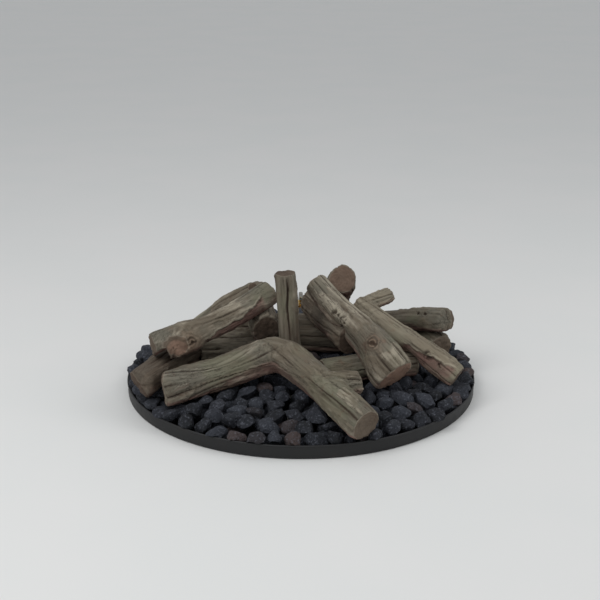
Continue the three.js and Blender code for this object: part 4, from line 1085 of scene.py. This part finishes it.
# The pan's steps, holes and studs. Of the solid's six drain holes, it has the one at DRAIN_TURN.
PAN_SIDES = 192
CORNER_STEPS = 7
BEAD_STEPS = 20
DRAIN_RADIUS = 0.005
DRAIN_CIRCLE = 0.78 * PAN_RADIUS
DRAIN_TURN = math.radians(300)
DRAIN_CUT = 0.01
INLET_RADIUS = 0.0073
INLET_HEIGHT = 0.0135
INLET_CUT = 0.02
STUD_RADIUS = 0.002
STUD_TOP = 0.0095
ROD_SIDES = 32

# From this angle on, an edge of a metal part is sharp
METAL_CREASE = math.radians(38)


def half_turn_profile():
    """The pan's section as (radius, height) pairs, from its underside round its bead to its floor."""
    middle = PAN_RADIUS - PAN_BEAD
    bend = middle + PAN_SHEET / 2 - PAN_CORNER
    inside = PAN_CORNER - PAN_SHEET
    quarter = np.linspace(0, math.pi / 2, CORNER_STEPS)
    outer = [(bend + PAN_CORNER * math.sin(a), PAN_CORNER - PAN_CORNER * math.cos(a)) for a in quarter]
    inner = [(bend + inside * math.sin(a), PAN_CORNER - inside * math.cos(a)) for a in quarter[::-1]]
    opening = math.acos(PAN_SHEET / 2 / PAN_BEAD)
    bead = [
        (middle + PAN_BEAD * math.cos(a), PAN_HEIGHT - PAN_BEAD + PAN_BEAD * math.sin(a))
        for a in np.linspace(-opening, math.pi + opening, BEAD_STEPS)
    ]
    return outer + bead + inner


def rod_corners(start, end, radius):
    """The corners of a round rod, first those of its start."""
    turn = (Vector(end) - Vector(start)).normalized().to_track_quat("Z", "Y").to_matrix()
    turns = np.linspace(0, math.tau, ROD_SIDES, endpoint=False)
    ring = [turn @ Vector((radius * math.cos(a), radius * math.sin(a), 0)) for a in turns]
    return [Vector(place) + step for place in (start, end) for step in ring]


def rods_object(name, rods):
    """Several rods, each as its start, its end and its radius, as one object."""
    corners, faces = [], []
    for rod in rods:
        faces += [tuple(len(corners) + i for i in side) for side in prism_faces(ROD_SIDES)]
        corners += rod_corners(*rod)
    return new_object(name, new_mesh(name, corners, faces))


def pan_holes():
    """Rods that cut the drain hole and the inlet hole."""
    x, y = DRAIN_CIRCLE * math.cos(DRAIN_TURN), DRAIN_CIRCLE * math.sin(DRAIN_TURN)
    near, far = PAN_RADIUS - INLET_CUT, PAN_RADIUS + INLET_CUT
    drain = ((x, y, -DRAIN_CUT), (x, y, DRAIN_CUT), DRAIN_RADIUS)
    inlet = ((0, near, INLET_HEIGHT), (0, far, INLET_HEIGHT), INLET_RADIUS)
    return rods_object("pan_holes", [drain, inlet])


def pan_studs():
    """The weld studs that stand in the burner legs' nuts."""
    rods = []
    for index in range(1, 5):
        low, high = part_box(f"burner_leg_nut_{index}")
        middle = (low + high) / 2
        rods.append(((middle.x, middle.y, PAN_SHEET / 2), (middle.x, middle.y, STUD_TOP), STUD_RADIUS))
    return rods_object("pan_studs", rods)


def turned_sheet():
    """The pan's section, turned to a closed solid without holes."""
    profile = half_turn_profile()
    last, count = len(profile) - 1, PAN_SIDES
    turns = np.linspace(0, math.tau, count, endpoint=False)
    corners = [(out * math.cos(turn), out * math.sin(turn), up) for out, up in profile for turn in turns]
    faces = []
    for i in range(last):
        low, high = i * count, (i + 1) * count
        faces += [(low + j, low + (j + 1) % count, high + (j + 1) % count, high + j) for j in range(count)]
    faces += [tuple(reversed(range(count))), tuple(range(last * count, (last + 1) * count))]
    return new_object("pan_sheet", new_mesh("pan_sheet", corners, faces))


def turn_pan(finish):
    """The pan as a smooth turning of the CAD pan's section, with one drain hole, its inlet and its studs."""
    sheet, holes, studs = turned_sheet(), pan_holes(), pan_studs()
    add_boolean(sheet, "DIFFERENCE", holes)
    add_boolean(sheet, "UNION", studs)
    mesh = baked_mesh(sheet)
    for spare in (sheet, holes, studs):
        bpy.data.objects.remove(spare)
    mesh.materials.clear()
    mesh.materials.append(finish)
    mesh.shade_smooth()
    mesh.set_sharp_from_angle(angle=math.radians(35))
    piece = new_object("pan_sheet", mesh)
    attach(piece, frame["nodes"]["burner_pan"]["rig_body"])
    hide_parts("burner_pan")


def finish_metal():
    """Materials for the pan and for the CAD nodes that stay as they are."""
    finishes = {name: metal_material(name, *look) for name, look in FINISHES.items()}
    turn_pan(finishes["pan_steel"])
    slots = {part["node"]: part["material_slot"] for part in frame["record"]["subparts"]}
    for name, node in frame["nodes"].items():
        finish = finishes.get(slots[name])
        if finish is None:
            continue
        node.data.materials.clear()
        node.data.materials.append(finish)
        node.data.set_sharp_from_angle(angle=METAL_CREASE)
        bevel = node.modifiers.new("Edges", "BEVEL")
        bevel.width = 0.0003
        bevel.segments = 2
        bevel.limit_method = "ANGLE"
        bevel.angle_limit = METAL_CREASE



def lay_floor():
    """A pale floor."""
    bpy.ops.mesh.primitive_plane_add(size=400, location=(0, 0, -0.0005))
    floor = bpy.context.active_object
    floor.name = "floor"
    n = Nodes("floor")
    clouds = n.noise(n.place(), 3, detail=2, roughness=0.5)
    colour = n.blend(n.band(clouds, 0.3, 0.7), "dedfdd", "e0e0de")
    floor.data.materials.append(n.finish(colour, 0.9))


def light_scene():
    """The world's even light and two soft lamps."""
    world = bpy.context.scene.world or bpy.data.worlds.new("world")
    bpy.context.scene.world = world
    world.use_nodes = True
    sky = world.node_tree.nodes["Background"]
    sky.inputs["Color"].default_value = linear("f1f3f6")
    sky.inputs["Strength"].default_value = 0.62
    for name, (place, size, power) in LAMPS.items():
        lamp = bpy.data.lights.new(name, "AREA")
        lamp.size = size
        lamp.energy = power
        shown = new_object(name, lamp)
        shown.location = place
        shown.rotation_euler = (LAMP_AIM - Vector(place)).to_track_quat("-Z", "Y").to_euler()


def set_camera():
    """The camera at the photograph's viewing angle."""
    camera = bpy.data.cameras.new("camera")
    camera.sensor_width = SENSOR_WIDTH_MM
    camera.lens = SENSOR_WIDTH_MM * FOCAL_PIXELS / FRAME_PIXELS
    shown = new_object("camera", camera)
    shown.location = CAMERA_PLACE
    shown.rotation_euler = (math.pi / 2 - CAMERA_DOWN, 0, 0)
    bpy.context.scene.camera = shown
    bpy.context.scene.view_settings.view_transform = "Standard"


for index, log in enumerate(log_names()):
    shape_log(log, 100 * (index + 1))
lay_stones()
finish_metal()
lay_floor()
light_scene()
set_camera()
